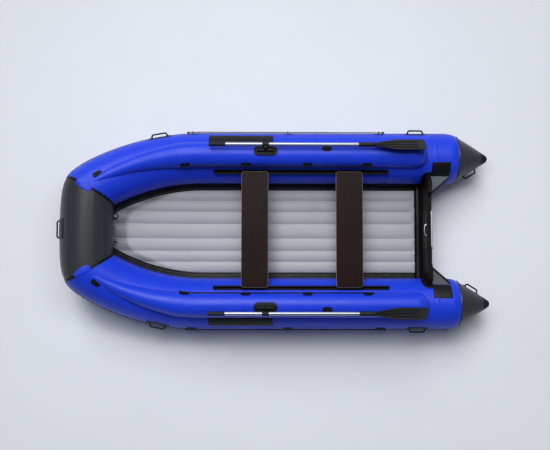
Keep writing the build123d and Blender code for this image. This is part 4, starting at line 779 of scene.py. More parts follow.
class BOAT_OT_top_chambers(bpy.types.Operator):
    """Skins of the upper chambers, round aft and dipping into the tubes at the bow"""

    bl_idname = "boat.top_chambers"
    bl_label = "Upper Chambers"

    def execute(self, context):
        sizes = context.scene.boat_sizes
        bend_run = BEND_ANGLE * BEND_R
        nose = crossing(lambda run: self.top_height(run) > GLUE_GAP, bend_run * 0.6, bend_run)
        aft = CHAMBER_AFT_X - CHAMBER_R - BEND_X
        share = np.linspace(0, 1, 250)
        end_turn = math.pi / 2 * np.linspace(0, 1, 24)
        round_end = aft + CHAMBER_R * (1 - np.cos(end_turn))
        run = np.concatenate([round_end, aft + CHAMBER_R + (nose - aft - CHAMBER_R) * share[1:] ** 0.97])[:, None]
        centre, radius, side, up = self.section(run)

        def around(turn, reach):
            """Point of the section at a turn from its top, positive outboard, and a distance from its centre."""
            return centre + reach[..., None] * (side * np.sin(turn)[..., None] + up * np.cos(turn)[..., None])

        def foot(sign):
            """Turn at which the section meets the tube, outboard for sign 1 and inboard for -1."""
            return crossing(lambda turn: nearest_on_tube(around(sign * turn, radius))[1] > TUBE_R,
                            0 * run, 0 * run + math.pi)

        foot_out, foot_in = foot(1.0), foot(-1.0)
        turn = -foot_in + (foot_out + foot_in) * np.linspace(0, 1, 84)[None, :]
        # Puckers 50 mm apart that die out 20 mm above the foot, and swelling, both fading out at the ends
        from_foot = np.minimum(turn + foot_in, foot_out - turn) * radius
        relief = -sizes.pucker * np.exp(-from_foot / 0.02)
        relief = relief * waves(run, 0.05, 3 * swell(run, turn * CHAMBER_R, 0.25, 41))
        relief = relief + sizes.swelling * (swell(run, turn * CHAMBER_R, 0.4, 42) - 1) * 0.5
        relief = relief * smooth_step(0, 0.05, run - aft) * smooth_step(0, 0.12, nose - run)
        spot = around(turn, radius + relief)
        # The open underside is closed by a web that follows the tube's skin
        across = np.linspace(0, 1, 16)[None, 1:-1, None]
        under = spot[:, -1:] * (1 - across) + spot[:, :1] * across
        axis, apart = nearest_on_tube(under)
        floor = TUBE_R + GLUE_GAP
        under = np.where((apart < floor)[..., None], axis + (under - axis) / apart[..., None] * floor, under)
        points = np.concatenate([spot, under], axis=1)
        uv = np.stack(np.broadcast_arrays(run, np.concatenate([turn, turn[:, 1:15]], 1) * CHAMBER_R), -1)
        for name, hand in SIDES:
            shell = (to_side(points, hand), False, True, True, uv)
            place(f"top_chamber_skin_{name}", [shell], "blue", [f"top_chamber_{name}"])
        return {"FINISHED"}

    @staticmethod
    def section(run):
        """Centre, radius and side and up directions of the chamber's section at a run.

        Its axis lies straight above the tube's axis. Through the bend it sinks by the dip and its radius
        shrinks, both in proportion to the turn; aft of its straight part the radius closes as a half ball.
        """
        start, end = CHAMBER_TAPER
        sink = np.clip((run / BEND_R / BEND_ANGLE - start) / (end - start), 0.0, None)
        axis, along, _, _ = tube_frame(run)
        centre = axis + UP * (CHAMBER_RISE - CHAMBER_DIP * sink)[..., None]
        past_end = np.maximum(CHAMBER_AFT_X - BEND_X - run, 0.0)
        radius = np.sqrt(np.maximum(CHAMBER_R**2 - past_end**2, 0.0)) - (CHAMBER_R - CHAMBER_NOSE_R) * sink
        side = np.cross(np.broadcast_to(UP, along.shape), along)
        side = side / np.linalg.norm(side, axis=-1, keepdims=True)
        return centre, radius, side, np.cross(along, side)

    def top_height(self, run):
        """How far the chamber's top stands outside the tube's skin."""
        centre, radius, _, up = self.section(np.array([run]))
        return (nearest_on_tube(centre + radius[..., None] * up)[1] - TUBE_R)[0]


class BOAT_OT_tail_cones(bpy.types.Operator):
    """Skins of the tail cones, with the welt over their seams and a moulded cap on each tip"""

    bl_idname = "boat.tail_cones"
    bl_label = "Tail Cones"

    bulge: bpy.props.FloatProperty(name="Bulge", description="Fullness of the cone", default=4 * MM, unit="LENGTH")
    cap_length: bpy.props.FloatProperty(
        name="Cap length", description="Moulded cap aft of the cone's nose", default=45 * MM, unit="LENGTH")

    def execute(self, context):
        slope = math.atan2(CONE_R - CONE_NOSE_R, CONE_X - CONE_TIP_X - CONE_NOSE_R)
        nose_x = CONE_TIP_X + CONE_NOSE_R
        touch_x = nose_x - CONE_NOSE_R * math.sin(slope)
        touch_r = CONE_NOSE_R * math.cos(slope)
        # A straight cone with a slight bulge, closed by the part of a ball that touches it
        t = np.linspace(0, 1, 70)
        x = CONE_X + (touch_x - CONE_X) * t
        r = CONE_R + (touch_r - CONE_R) * t + self.bulge * np.sin(math.pi * t)
        turn = np.linspace(slope, math.pi / 2, 16)[1:]
        x = np.concatenate([x, nose_x - CONE_NOSE_R * np.sin(turn)])
        r = np.concatenate([r, CONE_NOSE_R * np.cos(turn)])
        # The welt's section is a flat ellipse over the seam, the cap a thin shell over the cone's end
        welt_turn = np.linspace(0, math.tau, 20, endpoint=False)
        welt_x = CONE_X + 0.004 + 0.011 * np.cos(welt_turn)
        welt_r = CONE_R + 0.002 + 0.0022 * np.sin(welt_turn) - 0.2 * (welt_x - CONE_X)
        wall = 0.0012
        cap_from = touch_x + self.cap_length
        inner, rim = x < cap_from, np.interp(-cap_from, -x, r)
        cap_x = np.concatenate([[cap_from, cap_from], x[inner]])
        cap_r = np.concatenate([[rim - 0.002, rim + wall], r[inner] + wall])
        cap_x[-1] = CONE_TIP_X - wall
        for name, side in SIDES:
            shell, welt, cap = (self.spun(*line, side) for line in ((x, r), (welt_x, welt_r), (cap_x, cap_r)))
            place(f"stern_cone_skin_{name}", [(shell, False, True, True)], "dark", [f"stern_cone_{name}"])
            place(f"stern_cone_welt_{name}", [(welt, True, True, False)], "dark")
            place(f"stern_cone_cap_{name}", [(cap, False, True, True)], "rubber")
        return {"FINISHED"}

    @staticmethod
    def spun(x, r, side):
        """Profile of x and radius turned around the tube's straight axis."""
        angle = np.linspace(0, math.tau, 96, endpoint=False)[None, :]
        x, r = x[:, None] + 0 * angle, r[:, None]
        return to_side(np.stack([x, TUBE_Y + r * np.sin(angle), TUBE_Z + r * np.cos(angle)], -1), side)


def lie_height(x, height):
    """Forward and up for a station and a height over the floor's seams: level aft, then an arc up to the bow."""
    angle = np.maximum(x - BEND_X, 0.0) / FLOOR_RISE_R
    level = x <= BEND_X
    forward = np.where(level, x, BEND_X + (FLOOR_RISE_R - height) * np.sin(angle))
    return forward, FLOOR_Z + FLOOR_RISE_R - (FLOOR_RISE_R - height) * np.cos(angle)


def half_width(x, height, apart):
    """Half width at which the floor's curve comes within a distance of the tube's axis, at given stations."""
    def clear(y):
        forward, up = lie_height(x, height)
        return nearest_on_tube(np.stack([forward, y, up + 0 * y], -1))[1] > apart
    return crossing(clear, 0 * x, 0 * x + TUBE_Y)


def floor_sheet(x, y, height):
    """Points of a sheet that lies along the floor's curve at a height over it."""
    forward, up = lie_height(x, height)
    return np.stack([forward, y, up], -1)


def bow_limit(side_y, height, apart):
    """Test of a station on a lengthwise line: true while it keeps a distance from the bow tube's axis."""
    def clear(x):
        forward, up = lie_height(x, height)
        return bow_place(np.stack([forward, side_y(x), up + 0 * forward], -1))[2] > apart
    return clear


class BOAT_OT_floor(bpy.types.Operator):
    """Skin of the air floor with its seven cells, and the dark bands beside it"""

    bl_idname = "boat.floor"
    bl_label = "Air Floor"

    # Width of the darker bow margin, which is partly smooth cloth and partly painted shadow of the bow tube
    margin: bpy.props.FloatProperty(
        name="Margin", description="Smooth darker cloth at the bow end", default=140 * MM, unit="LENGTH")
    corner: bpy.props.FloatProperty(
        name="Corner", description="Rounding of the light cloth's outline", default=75 * MM, unit="LENGTH")

    def execute(self, context):
        # Half widths of the cells and of the bands' outer edges, along the boat
        stations = np.linspace(FLOOR_AFT_X, 1.5, 500)
        inner = half_width(stations, 0.0, TUBE_R + BAND_W)
        outer = half_width(stations, BAND_RISE, TUBE_R + GLUE_GAP)
        share = np.linspace(-1, 1, 281)[None, :]
        clear = bow_limit(lambda x: share * np.interp(x, stations, inner), 0.0, TUBE_R + GLUE_GAP)
        end = crossing(clear, 0 * share + 0.6, 0 * share + 1.5)
        x = FLOOR_AFT_X + (end - FLOOR_AFT_X) * np.linspace(0, 1, 210)[:, None]
        y = share * np.interp(x, stations, inner)
        crown, seam = self.cells(y)
        cells = smooth_step(0.015, 0.06, end - x)
        # The light cloth narrows from station 0.70 on, where painted shadow of the side tubes falls, and its bow
        # corners are round; the darker margin around it is partly smooth cloth and partly painted shadow of the bow
        # and side tubes
        tube_shadow_wedge = np.interp(x, (0.70, 1.04, 1.2), (-0.03, 0.042, 0.055))
        short = np.clip(self.corner - (end.max() - self.margin - x), 0, None)
        narrow = np.clip(self.corner - (np.interp(x, stations, inner) - tube_shadow_wedge - np.abs(y)), 0, None)
        dark = smooth_step(-0.022, 0.022, np.hypot(short, narrow) - self.corner)
        # Crowned cells with puckers 35 mm apart along their seams, lower at the aft end and level at the bow
        aft_end = smooth_step(0, 0.035, x - FLOOR_AFT_X)
        puckers = 0.0012 * seam * np.sin(x * math.tau / 0.035 + 3 * swell(x, y, 0.2, 51))
        height = (crown + puckers) * cells * (0.25 + 0.75 * aft_end) + 0.0008 * swell(x, y, 0.3, 52)
        low = floor_sheet(x, y, 0 * y + FLOOR_MID_Z - FLOOR_Z)
        uv = np.stack(np.broadcast_arrays(x, y), -1)
        layers = ((floor_sheet(x, y, height), low), (uv, uv), (dark, dark))
        points, uv, tone = (np.concatenate([top, under[:, ::-LOW_SHARE]], axis=1) for top, under in layers)
        place("air_floor_skin", [(points, False, True, True, uv, tone)], "deck", ["air_floor"])
        for name, side in SIDES:
            place(f"floor_band_{name}", [self.band(stations, inner, outer, side)], "black", [f"floor_edge_{name}"])
        return {"FINISHED"}

    @staticmethod
    def cells(y):
        """Crown of the cell at each y, falling off from its middle with the power 2.4, and closeness to a seam."""
        crown, seam = np.zeros_like(y), np.zeros_like(y)
        for centre, width in FLOOR_CELLS:
            share = (np.abs(y) - centre) / (width / 2)
            inside = np.abs(share) <= 1
            crown = np.where(inside, CELL_CROWN * (1 - np.abs(share) ** 2.4), crown)
            seam = np.where(inside, np.abs(share) ** 10, seam)
        return crown, seam

    @staticmethod
    def band(stations, inner, outer, side):
        """Band of cloth from the floor's edge up to the tube, with a rolled hem, closed underneath."""
        k = np.linspace(0, 1, 26)[None, :]

        def across(x):
            near, far = np.interp(x, stations, inner), np.interp(x, stations, outer)
            return near + (far - near) * k

        clear = bow_limit(across, BAND_RISE / 2, TUBE_R + GLUE_GAP)
        end = crossing(clear, 0 * k + 0.6, 0 * k + 1.5)
        x = FLOOR_AFT_X + (end - FLOOR_AFT_X) * np.linspace(0, 1, 260)[:, None]
        y = across(x)
        hem = 0.005 * np.exp(-((k - 0.17) / 0.07) ** 2) + 0.003 * np.exp(-((k - 0.62) / 0.05) ** 2)
        folds = 0.0022 * np.sin(math.pi * k) * swell(x, y, 0.09, 61)
        top = floor_sheet(x, y, BAND_RISE * k**1.5 + hem + folds)
        low = floor_sheet(x, y, 0 * y + FLOOR_MID_Z - FLOOR_Z)
        uv = np.stack([x, y], -1)
        points, uv = (np.concatenate([over, under[:, ::-1]], axis=1) for over, under in ((top, low), (uv, uv)))
        return to_side(points, side), False, True, True, uv


class BOAT_OT_bottom(bpy.types.Operator):
    """Skin of the bottom with its shallow lengthwise bulges"""

    bl_idname = "boat.bottom"
    bl_label = "Bottom"

    def execute(self, context):
        stations = np.linspace(BOTTOM_AFT_X, 1.6, 400)
        depth = BOTTOM_Z + BULGE_H - FLOOR_Z
        edge = half_width(stations, depth, TUBE_R + GLUE_GAP)
        share = np.linspace(-1, 1, 217)[None, :]
        clear = bow_limit(lambda x: share * np.interp(x, stations, edge), depth, TUBE_R + GLUE_GAP)
        end = crossing(clear, 0 * share + 0.6, 0 * share + 1.6)
        x = BOTTOM_AFT_X + (end - BOTTOM_AFT_X) * np.linspace(0, 1, 160)[:, None]
        y = share * np.interp(x, stations, edge)
        # Lengthwise bulges, each a parabola across, that fade out at the bow
        bulge = (np.abs(y) / BULGE_W) % 1.0 * 2 - 1
        fade = smooth_step(0, 0.1, end - x)
        down = BULGE_H * (1 - bulge**2) * fade * (np.abs(y) < 4 * BULGE_W)
        low = floor_sheet(x, y, depth - down + 0.001 * swell(x, y, 0.3, 71) * fade + 0.001)
        widest = 0.9 * np.abs(y).max()
        high = floor_sheet(x, np.clip(y, -widest, widest) * 0.86, 0 * y + FLOOR_MID_Z - FLOOR_Z - 0.001)
        uv = np.stack(np.broadcast_arrays(x, y), -1)
        layers = ((low, high), (uv, uv))
        points, uv = (np.concatenate([under, over[:, ::-LOW_SHARE]], axis=1) for under, over in layers)
        place("hull_bottom_skin", [(points, False, True, True, uv)], "dark", ["hull_bottom"])
        return {"FINISHED"}


class BOAT_OT_strakes(bpy.types.Operator):
    """Rub strakes with three rounded ribs, around the sides and across the bow"""

    bl_idname = "boat.strakes"
    bl_label = "Rub Strakes"

    def execute(self, context):
        # One broad rib in the middle and two narrower ones, bell curves over a thin web
        share = np.linspace(-1, 1, 41)[None, :]
        ribs = np.maximum(np.exp(-(share / 0.17) ** 2), np.exp(-((np.abs(share) - 0.62) / 0.14) ** 2))
        web = 2.2 * MM
        top = TUBE_R + web + (STRAKE_T - web) * ribs * (np.abs(share) < 0.98)
        top = np.where(np.abs(share) > 0.99, TUBE_R + GLUE_GAP, top)
        angle = STRAKE_ANGLE + share * STRAKE_W / 2 / TUBE_R
        end = mitre_run(angle, TUBE_R)
        run = TAPER_X - BEND_X + (end - TAPER_X + BEND_X) * np.linspace(0, 1, 240)[:, None]

        def shell(surface, along):
            """Ribbed outside and plain inside of the strake, around one of the tubes."""
            inner = along[:, ::-5]
            outside = surface(along, angle + 0 * along, top + 0 * along)
            return rounded(np.concatenate([
                outside, surface(inner, angle[:, ::-5] + 0 * inner, TUBE_R + 0 * inner)], axis=1))

        around_side = shell(tube_point, run)
        for name, side in SIDES:
            grid = (to_side(around_side, side), False, True, True)
            place(f"rub_strake_skin_{name}", [grid], "rubber", [f"rub_strake_{name}"])
        turn = bow_edge(angle) * np.linspace(1, -1, 80)[:, None]
        grid = (shell(bow_point, turn), False, True, True)
        place("rub_strake_skin_bow", [grid], "rubber", ["rub_strake_bow"])
        return {"FINISHED"}


def rope_grid(run, angle, radius, lift, pitch, side):
    """Three-strand rope along the tube: its radius rises and falls three times around and turns once per pitch."""
    middle = tube_point(run, angle + 0 * run, radius + EYE_LIFT + 0 * run, lift)
    _, _, across, up = tube_frame(run, lift)
    turn = np.linspace(0, math.tau, 15, endpoint=False)[None, :]
    strand = np.abs(np.cos(1.5 * (turn + run[:, None] * math.tau / pitch)))
    thick = ROPE_R * (0.80 + 0.20 * strand)
    ends = np.minimum(run - run[0], run[-1] - run)
    thick = thick * np.sqrt(np.clip(ends / ROPE_R, 0.02, 1))[:, None]
    points = middle[:, None] + thick[..., None] * (
        across[:, None] * np.sin(turn)[..., None] + up[:, None] * np.cos(turn)[..., None])
    return to_side(points, side), False, True, True


class BOAT_OT_lifelines(bpy.types.Operator):
    """Three-strand ropes through the eyes, with a stopper knot at each end"""

    bl_idname = "boat.lifelines"
    bl_label = "Lifelines"

    def execute(self, context):
        sizes = context.scene.boat_sizes
        rows = (
            # name, aft end, forward end, angle, tube radius, lift
            ("inner", -0.762, 0.765, math.radians(-62), CHAMBER_R, CHAMBER_RISE),
            ("outer", -0.886, 0.709, OUTER_LINE_ANGLE, TUBE_R, 0.0),
        )
        for kind, aft, fore, angle, radius, lift in rows:
            fore_run = BEND_R * math.asin((fore - BEND_X) / BEND_R)
            run = np.linspace(aft - BEND_X, fore_run, 640)
            for name, side in SIDES:
                grids = [rope_grid(run, angle, radius, lift, sizes.rope_pitch, side)]
                for end in (run[0] + ROPE_R, run[-1] - ROPE_R):
                    grids.append(self.knot(end, angle, radius, lift, side))
                place(f"{kind}_rope_{name}", grids, "rope", [f"{kind}_lifeline_{name}"])
        return {"FINISHED"}

    @staticmethod
    def knot(run, angle, radius, lift, side):
        """Stopper knot: a ball drawn in along two slanting grooves."""
        u = np.linspace(0.02, math.pi - 0.02, 18)[:, None]
        v = np.linspace(0, math.tau, 24, endpoint=False)[None, :]
        size = 2.1 * ROPE_R * (0.82 + 0.18 * np.abs(np.sin(1.5 * v + 2 * u)))
        middle = tube_point(np.array(run), np.array(angle), np.array(radius + EYE_LIFT), lift)
        _, along, across, up = tube_frame(np.array(run), lift)
        ball = (along * (np.cos(u) * 1.25 + 0 * v)[..., None] + across * (np.sin(u) * np.sin(v))[..., None]
                + up * (np.sin(u) * np.cos(v))[..., None])
        return to_side(middle + size[..., None] * ball, side), False, True, True


class BOAT_OT_patches(bpy.types.Operator):
    """Glued patches: the bare panels, the transom's patches and the welded overlaps of the tubes"""

    bl_idname = "boat.patches"
    bl_label = "Patches"

    def execute(self, context):
        sizes = context.scene.boat_sizes
        pad = 2.2 * MM
        panel = self.over_node("side_panel_port", math.radians(43), math.radians(26), 1.2 * MM, counts=(60, 24))
        knee = self.over_node("transom_patch_port", math.radians(-32.5), math.radians(35), 2.0 * MM)
        disc = tube_patch(-1.236 - BEND_X, math.radians(-62), 0.12, 0.17, 1.4 * MM, corner=0.9)
        rows = (
            # name, grid, the frame's node that it stands for
            ("side_panel_skin", panel, "side_panel"),
            ("transom_patch_skin", knee, "transom_patch"),
            ("transom_round_patch", disc, None),
        )
        pads = []
        for x in HANDLE_X:
            run = BEND_R * math.asin(max(x - BEND_X, 0.0) / BEND_R) + min(x - BEND_X, 0.0)
            pads.append(tube_patch(run, OUTER_LINE_ANGLE, 0.178, 0.066, pad, corner=0.25))
        for name, side in SIDES:
            for kind, grid, node in rows:
                place(f"{kind}_{name}", [grid_to_side(grid, side)], "black", [f"{node}_{name}"] if node else ())
            place(f"handle_pads_{name}", [grid_to_side(grid, side) for grid in pads], "black")
            bands = [grid_to_side(self.overlap(x - BEND_X, sizes), side) for x in (-1.286, -0.34, 0.60)]
            place(f"side_tube_overlaps_{name}", bands, "blue")
        place("bow_handle_pad", [self.bow_pad(pad)], "black")
        return {"FINISHED"}

    @staticmethod
    def over_node(node, angle, spread, thickness, counts=(24, 24)):
        """Patch as long as the frame's node and spread around the tube by an angle, its corners nearly square."""
        low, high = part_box(node)
        return tube_patch((low[0] + high[0]) / 2 - BEND_X, angle, high[0] - low[0], spread * TUBE_R,
                          thickness, 0.02, counts)

    @staticmethod
    def bow_pad(thickness):
        """Pad of the bow handle on the bow tube's upper front: a rounded square, thinned to nothing at its edge."""
        a, b, u, v = rounded_square(28, 28, 0.25)
        turn = a * 0.163 / 2 / BOW_CURVE_R
        angle = math.radians(64) + b * math.radians(21)
        edge = patch_edge(u, v)
        top = bow_point(turn, angle, TUBE_R + GLUE_GAP + thickness * edge)
        low = bow_point(turn, angle, TUBE_R + GLUE_GAP + 0 * edge)
        return np.concatenate([top, low[::-1]]), True, False, False

    @staticmethod
    def overlap(run, sizes):
        """Welded overlap: a thin ring around the tube, level across its width and falling off at both edges."""
        angle = np.linspace(-math.pi, math.pi, 120, endpoint=False)[None, :]
        share = np.array([-1, -0.94, -0.5, 0, 0.5, 0.94, 1, 0.5, -0.5])[:, None]
        height = np.array([0.1, 1, 1, 1, 1, 1, 0.1, -1, -1])[:, None]
        radius = TUBE_R + sizes.seam_height * height * 0.9
        runs = run + share * sizes.seam_width / 2
        return tube_point(runs + 0 * angle, angle + 0 * share, radius + 0 * angle), True, True, False


class BOAT_OT_floor_valves(bpy.types.Operator):
    """Screw rings and caps of the two valves at the bow end of the floor"""

    bl_idname = "boat.floor_valves"
    bl_label = "Floor Valves"

    def execute(self, context):
        # Profiles over the floor's seams; the ring's radii are beside its own, the cap's are shares of its own
        ring_height = np.array([7.5, 10.6, 11.8, 11.8, 10.6, 7.5]) * MM
        ring_radius = np.array([0.0, 0.0, -1.2, -7.4, -8.6, -8.6]) * MM
        cap_height = np.array([8.0, 11.6, 12.6, 13.2, 13.4]) * MM
        cap_radius = np.array([1.0, 1.0, 0.93, 0.6, 0.2])
        rows = (
            # name, forward of the bow tube's aft side, y, ring radius, ring material, cap material
            ("starboard", 0.0055, -0.118, 24.5 * MM, "eye", "cap"),
            ("port", 0.0075, 0.096, 20.5 * MM, "cap", "nylon"),
        )
        for name, ahead, y, radius, ring, cap in rows:
            x = BOW_X - TUBE_R + ahead
            lean = math.asin((x - BEND_X) / FLOOR_RISE_R)
            seat = np.array([x, y, FLOOR_Z + FLOOR_RISE_R * (1 - math.cos(lean)) + CELL_CROWN / 2])
            axis = (-math.sin(lean), 0.0, math.cos(lean))
            grid = (turned(ring_height, radius + ring_radius, seat, axis), True, True, False)
            place(f"floor_valve_ring_{name}", [grid], ring)
            grid = (turned(cap_height, (radius - 9.2 * MM) * cap_radius, seat, axis), False, True, True)
            place(f"floor_valve_cap_{name}", [grid], cap)
        return {"FINISHED"}


class BOAT_OT_transom_trim(bpy.types.Operator):
    """Cloth flap ahead of the transom, knee tapes and bolts, the metal lip on the notch and the eye below it"""

    bl_idname = "boat.transom_trim"
    bl_label = "Transom Trim"

    def execute(self, context):
        place("transom_flap", [(self.flap(), False, True, True)], "black")
        for name, side in SIDES:
            place(f"knee_tape_{name}", [(to_side(self.tape(), side), False, True, True)], "black")
            place(f"knee_bolt_{name}", [(to_side(self.bolt(), side), False, True, True)], "steel")
        place("motor_plate_lip", [(self.lip(), False, True, True)], "lip")
        place("transom_eye", [(grid, False, True, True) for grid in self.eye()], "steel")
        return {"FINISHED"}

    @staticmethod
    def flap():
        """Cloth between floor and transom: it sags as half a sine wave, then turns up against the board."""
        s = np.linspace(0, 1, 40)[:, None]
        share = np.linspace(-1, 1, 80)[None, :]
        x = FLOOR_AFT_X - 0.0005 + (TRANSOM_X + 0.0012 - FLOOR_AFT_X) * np.clip(s / 0.75, 0, 1)
        z = 0.115 - 0.011 * np.sin(math.pi * np.clip(s / 0.7, 0, 1)) + 0.024 * smooth_step(0.6, 1.0, s)
        z = z + 0.0025 * swell(x, share * 0.4, 0.12, 81) * np.sin(math.pi * np.clip(s / 0.8, 0, 1))
        y = share * (TUBE_Y - np.sqrt((TUBE_R + GLUE_GAP) ** 2 - (TUBE_Z - z) ** 2))
        top = np.stack([x + 0 * share, y, z + 0 * share], -1)
        low = top + np.array([0.0007, 0.0, -0.0014])
        return np.concatenate([top, low[::-1]]).transpose(1, 0, 2)

    @staticmethod
    def tape():
        """Roll of tape along the knee's upper edge: a flat ellipse drawn along a straight line."""
        start, stop = np.array([-1.2505, 0.2985, 0.3445]), np.array([-1.4, 0.4280, 0.3445])
        over = np.cross((stop - start) / np.linalg.norm(stop - start), UP)
        middle = (start + (stop - start) * np.linspace(0, 1, 30)[:, None])[:, None]
        turn = np.linspace(0, math.tau, 16, endpoint=False)[None, :, None]
        return middle + over * (0.011 * np.cos(turn)) + UP * (0.0062 * np.sin(turn))

    @staticmethod
    def bolt():
        """Washer and domed head on the transom's aft face: a profile turned around a line along the boat."""
        heights = np.array([-0.5, 1.6, 1.8, 2.0, 6.4, 8.0, 8.6]) * MM
        radii = np.array([10.0, 10.0, 9.4, 6.4, 6.2, 4.6, 1.0]) * MM
        return turned(heights, radii, np.array([TRANSOM_AFT_X, 0.283, HARDWARE_Z]), (-1.0, 0.0, 0.0), 28)

    @staticmethod
    def lip():
        """Strip of metal on the notch's aft edge: a flat rectangle with round corners, drawn across the boat."""
        corner = np.radians((0, 90, 180, 270))[:, None] + np.linspace(0, math.pi / 2, 5)[None, :]
        x = TRANSOM_AFT_X + 0.001 + np.sign(np.cos(corner + 0.01)) * 0.0052 + 0.0006 * np.cos(corner)
        z = NOTCH_Z + 0.001 + np.sign(np.sin(corner + 0.01)) * 0.0002 + 0.0006 * np.sin(corner)
        y = np.linspace(-0.157, 0.157, 12)[:, None]
        return np.stack(np.broadcast_arrays(x.ravel(), y, z.ravel()), -1)

    @staticmethod
    def eye():
        """Round bar bent to a hoop, which stands off the pad by the root of a sine, and a disc under each foot."""
        face, half_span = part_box("motor_pad_inner")[1][0], 0.044
        sweep = np.linspace(0, math.pi, 40)
        reach = face - 0.003 + 0.02 * np.sqrt(np.abs(np.sin(sweep)))
        hoop = np.stack([reach, half_span * np.cos(sweep), HARDWARE_Z + 0 * sweep], -1)
        along = np.gradient(hoop, axis=0)
        over = np.cross(along / np.linalg.norm(along, axis=1, keepdims=True), UP)[:, None]
        turn = np.linspace(0, math.tau, 16, endpoint=False)[None, :, None]
        bar = hoop[:, None] + 0.0042 * (over * np.cos(turn) + UP * np.sin(turn))
        heights, radii = np.array([-0.5, 1.4, 2.0]) * MM, np.array([10.0, 10.0, 9.0]) * MM
        feet = [turned(heights, radii, np.array([face, y, HARDWARE_Z]), (1.0, 0.0, 0.0), 24)
                for y in (-half_span, half_span)]
        return bar, *feet


CAD_FINISHES = {
    # node: material
    "keel_strips": "rubber", "transom": "transom", "motor_pad_inner": "nylon", "motor_plate_outer": "plate",
    "drain_valve": "nylon", "seat_front": "seat", "seat_rear": "seat", "seat_front_sliders": "nylon",
    "seat_rear_sliders": "nylon", "side_handles": "rubber", "bow_handle": "rubber", "cone_handles": "rubber",
    "air_valves": "nylon",
}
CAD_PAIR_FINISHES = {
    "transom_knee": "knee", "seat_rail": "rubber", "rowlock_base": "rubber", "rowlock_yoke": "nylon",
    "oar_clamp": "nylon", "oar_shaft": "shaft", "oar_grip": "grip", "oar_blade": "blade",
    "lifeline_eyes": "eye", "oar_rest": "eye",
}


class BOAT_OT_finish_frame(bpy.types.Operator):
    """Gives the frame's own pieces their materials"""

    bl_idname = "boat.finish_frame"
    bl_label = "Frame Finishes"

    def execute(self, context):
        finishes = dict(CAD_FINISHES)
        finishes.update({f"{node}_{name}": kind for node, kind in CAD_PAIR_FINISHES.items() for name, _ in SIDES})
        for node, kind in finishes.items():
            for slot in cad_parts[node].material_slots:
                slot.material = MATERIALS[kind]
        return {"FINISHED"}


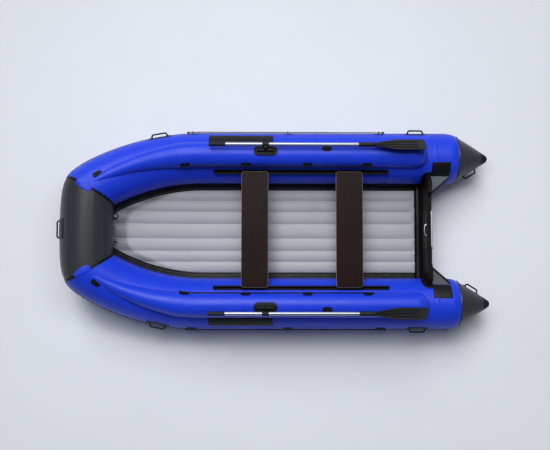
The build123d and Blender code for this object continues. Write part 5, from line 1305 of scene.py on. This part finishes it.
class BOAT_OT_stage(bpy.types.Operator):
    """Pale floor, soft lights and the camera at the photograph's angle"""

    bl_idname = "boat.stage"
    bl_label = "Stage"

    floor_size: bpy.props.FloatProperty(
        name="Floor size", description="Side of the floor", default=160.0, unit="LENGTH")
    key_power: bpy.props.FloatProperty(
        name="Key light", description="Strength of the light from starboard", default=1.25)
    top_power: bpy.props.FloatProperty(
        name="Top light", description="Strength of the light from above", default=1.1)
    near_power: bpy.props.FloatProperty(
        name="Near light", description="Power of the softbox over starboard", default=70.0)
    sky: bpy.props.FloatProperty(
        name="Sky", description="Strength of the light from overhead", default=0.15)
    backdrop: bpy.props.FloatProperty(
        name="Backdrop", description="Strength of the light at the horizon", default=0.7)

    def execute(self, context):
        scene = context.scene
        scene.view_settings.view_transform = "Standard"
        half = self.floor_size / 2
        corners = np.array([[[x, y, 0.0] for y in (-half, half)] for x in (half, -half)])
        floor = grid_mesh("studio_floor", [(corners, False, False, False)], MATERIALS["floor"])
        world = bpy.data.worlds.new("studio")
        world.use_nodes = True
        background = world.node_tree.nodes["Background"]
        background.inputs["Color"].default_value = linear("#e4e9f2")
        # A pale backdrop all round that dims overhead, so that the horizon stays light in low views
        where = add_node(world.node_tree, "ShaderNodeTexCoord")
        parts = add_node(world.node_tree, "ShaderNodeSeparateXYZ", inputs={"Vector": where.outputs["Generated"]})
        level = add_node(world.node_tree, "ShaderNodeMapRange", {"interpolation_type": "SMOOTHSTEP"}, {
            "Value": parts.outputs["Z"], "From Min": 0.02, "From Max": 0.30,
            "To Min": self.backdrop, "To Max": self.sky})
        world.node_tree.links.new(level.outputs["Result"], background.inputs["Strength"])
        scene.world = world
        lights = (
            # name, place, width seen from the boat in degrees, strength
            ("key", (1.6, -6.2, 6.4), 24, self.key_power),
            ("top", (0.6, -2.4, 5.8), 30, self.top_power),
        )
        for name, at, width, power in lights:
            lamp = bpy.data.lights.new(name, "SUN")
            lamp.angle, lamp.energy = math.radians(width), power
            made = bpy.data.objects.new(name, lamp)
            made.location = at
            made.rotation_euler = (-Vector(at)).to_track_quat("-Z", "Y").to_euler()
            scene.collection.objects.link(made)
        lamp = bpy.data.lights.new("near", "AREA")
        lamp.shape, lamp.size, lamp.size_y, lamp.energy = "RECTANGLE", 3.4, 0.9, self.near_power
        made = bpy.data.objects.new("near", lamp)
        made.location = (0.2, -1.3, 4.2)
        made.rotation_euler = (-Vector((0.0, -1.1, 4.0))).to_track_quat("-Z", "Y").to_euler()
        made.visible_camera = False
        scene.collection.objects.link(made)
        self.camera(scene)
        return {"FINISHED"}

    @staticmethod
    def camera(scene):
        """Camera over the deck, fitted to the photograph: the bow to the left and starboard at the top."""
        at = Vector((0.080, 0.324, 6.209))
        aim = Vector((0.0044, -0.0472, 0.222))
        roll = math.radians(0.06)
        focal_px, frame_px = 729.4, 550
        back = (at - aim).normalized()
        right = back.cross(Vector((0, 1, 0))).normalized()
        turned = Matrix((right, back.cross(right), back)).transposed().to_4x4()
        data = bpy.data.cameras.new("photo_camera")
        data.sensor_fit, data.sensor_width = "HORIZONTAL", 36.0
        data.lens = 36.0 * focal_px / frame_px
        data.clip_end = 200.0
        made = bpy.data.objects.new("photo_camera", data)
        made.matrix_world = Matrix.Translation(at) @ turned @ Matrix.Rotation(roll, 4, "Z")
        scene.collection.objects.link(made)
        scene.camera = made


STEPS = (
    BOAT_OT_materials, BOAT_OT_stage, BOAT_OT_side_tubes, BOAT_OT_bow_tube, BOAT_OT_bow_tabs, BOAT_OT_top_chambers,
    BOAT_OT_tail_cones, BOAT_OT_floor, BOAT_OT_bottom, BOAT_OT_strakes, BOAT_OT_lifelines, BOAT_OT_patches,
    BOAT_OT_floor_valves, BOAT_OT_transom_trim, BOAT_OT_finish_frame,
)


class BOAT_PT_panel(bpy.types.Panel):
    """Lists the boat's pieces and their settings"""

    bl_idname = "BOAT_PT_panel"
    bl_label = "Inflatable Boat"
    bl_space_type = "VIEW_3D"
    bl_region_type = "UI"
    bl_category = "Boat"

    def draw(self, context):
        for group in (context.scene.boat_sizes, context.scene.boat_colours):
            for name in group.bl_rna.properties.keys():
                if name not in ("rna_type", "name"):
                    self.layout.prop(group, name)
        for step in STEPS:
            self.layout.operator(step.bl_idname)


CLASSES = (BoatSizes, BoatColours, *STEPS, BOAT_PT_panel)


def register():
    """Registers the classes and gives the scene its two groups of settings."""
    for cls in CLASSES:
        bpy.utils.register_class(cls)
    bpy.types.Scene.boat_sizes = bpy.props.PointerProperty(type=BoatSizes)
    bpy.types.Scene.boat_colours = bpy.props.PointerProperty(type=BoatColours)


def unregister():
    """Takes the settings and the classes away again."""
    del bpy.types.Scene.boat_colours
    del bpy.types.Scene.boat_sizes
    for cls in reversed(CLASSES):
        bpy.utils.unregister_class(cls)


def main():
    """Builds the looks step by step."""
    register()
    for step in STEPS:
        group, name = step.bl_idname.split(".")
        getattr(getattr(bpy.ops, group), name)()


if __name__ == "__main__":
    main()
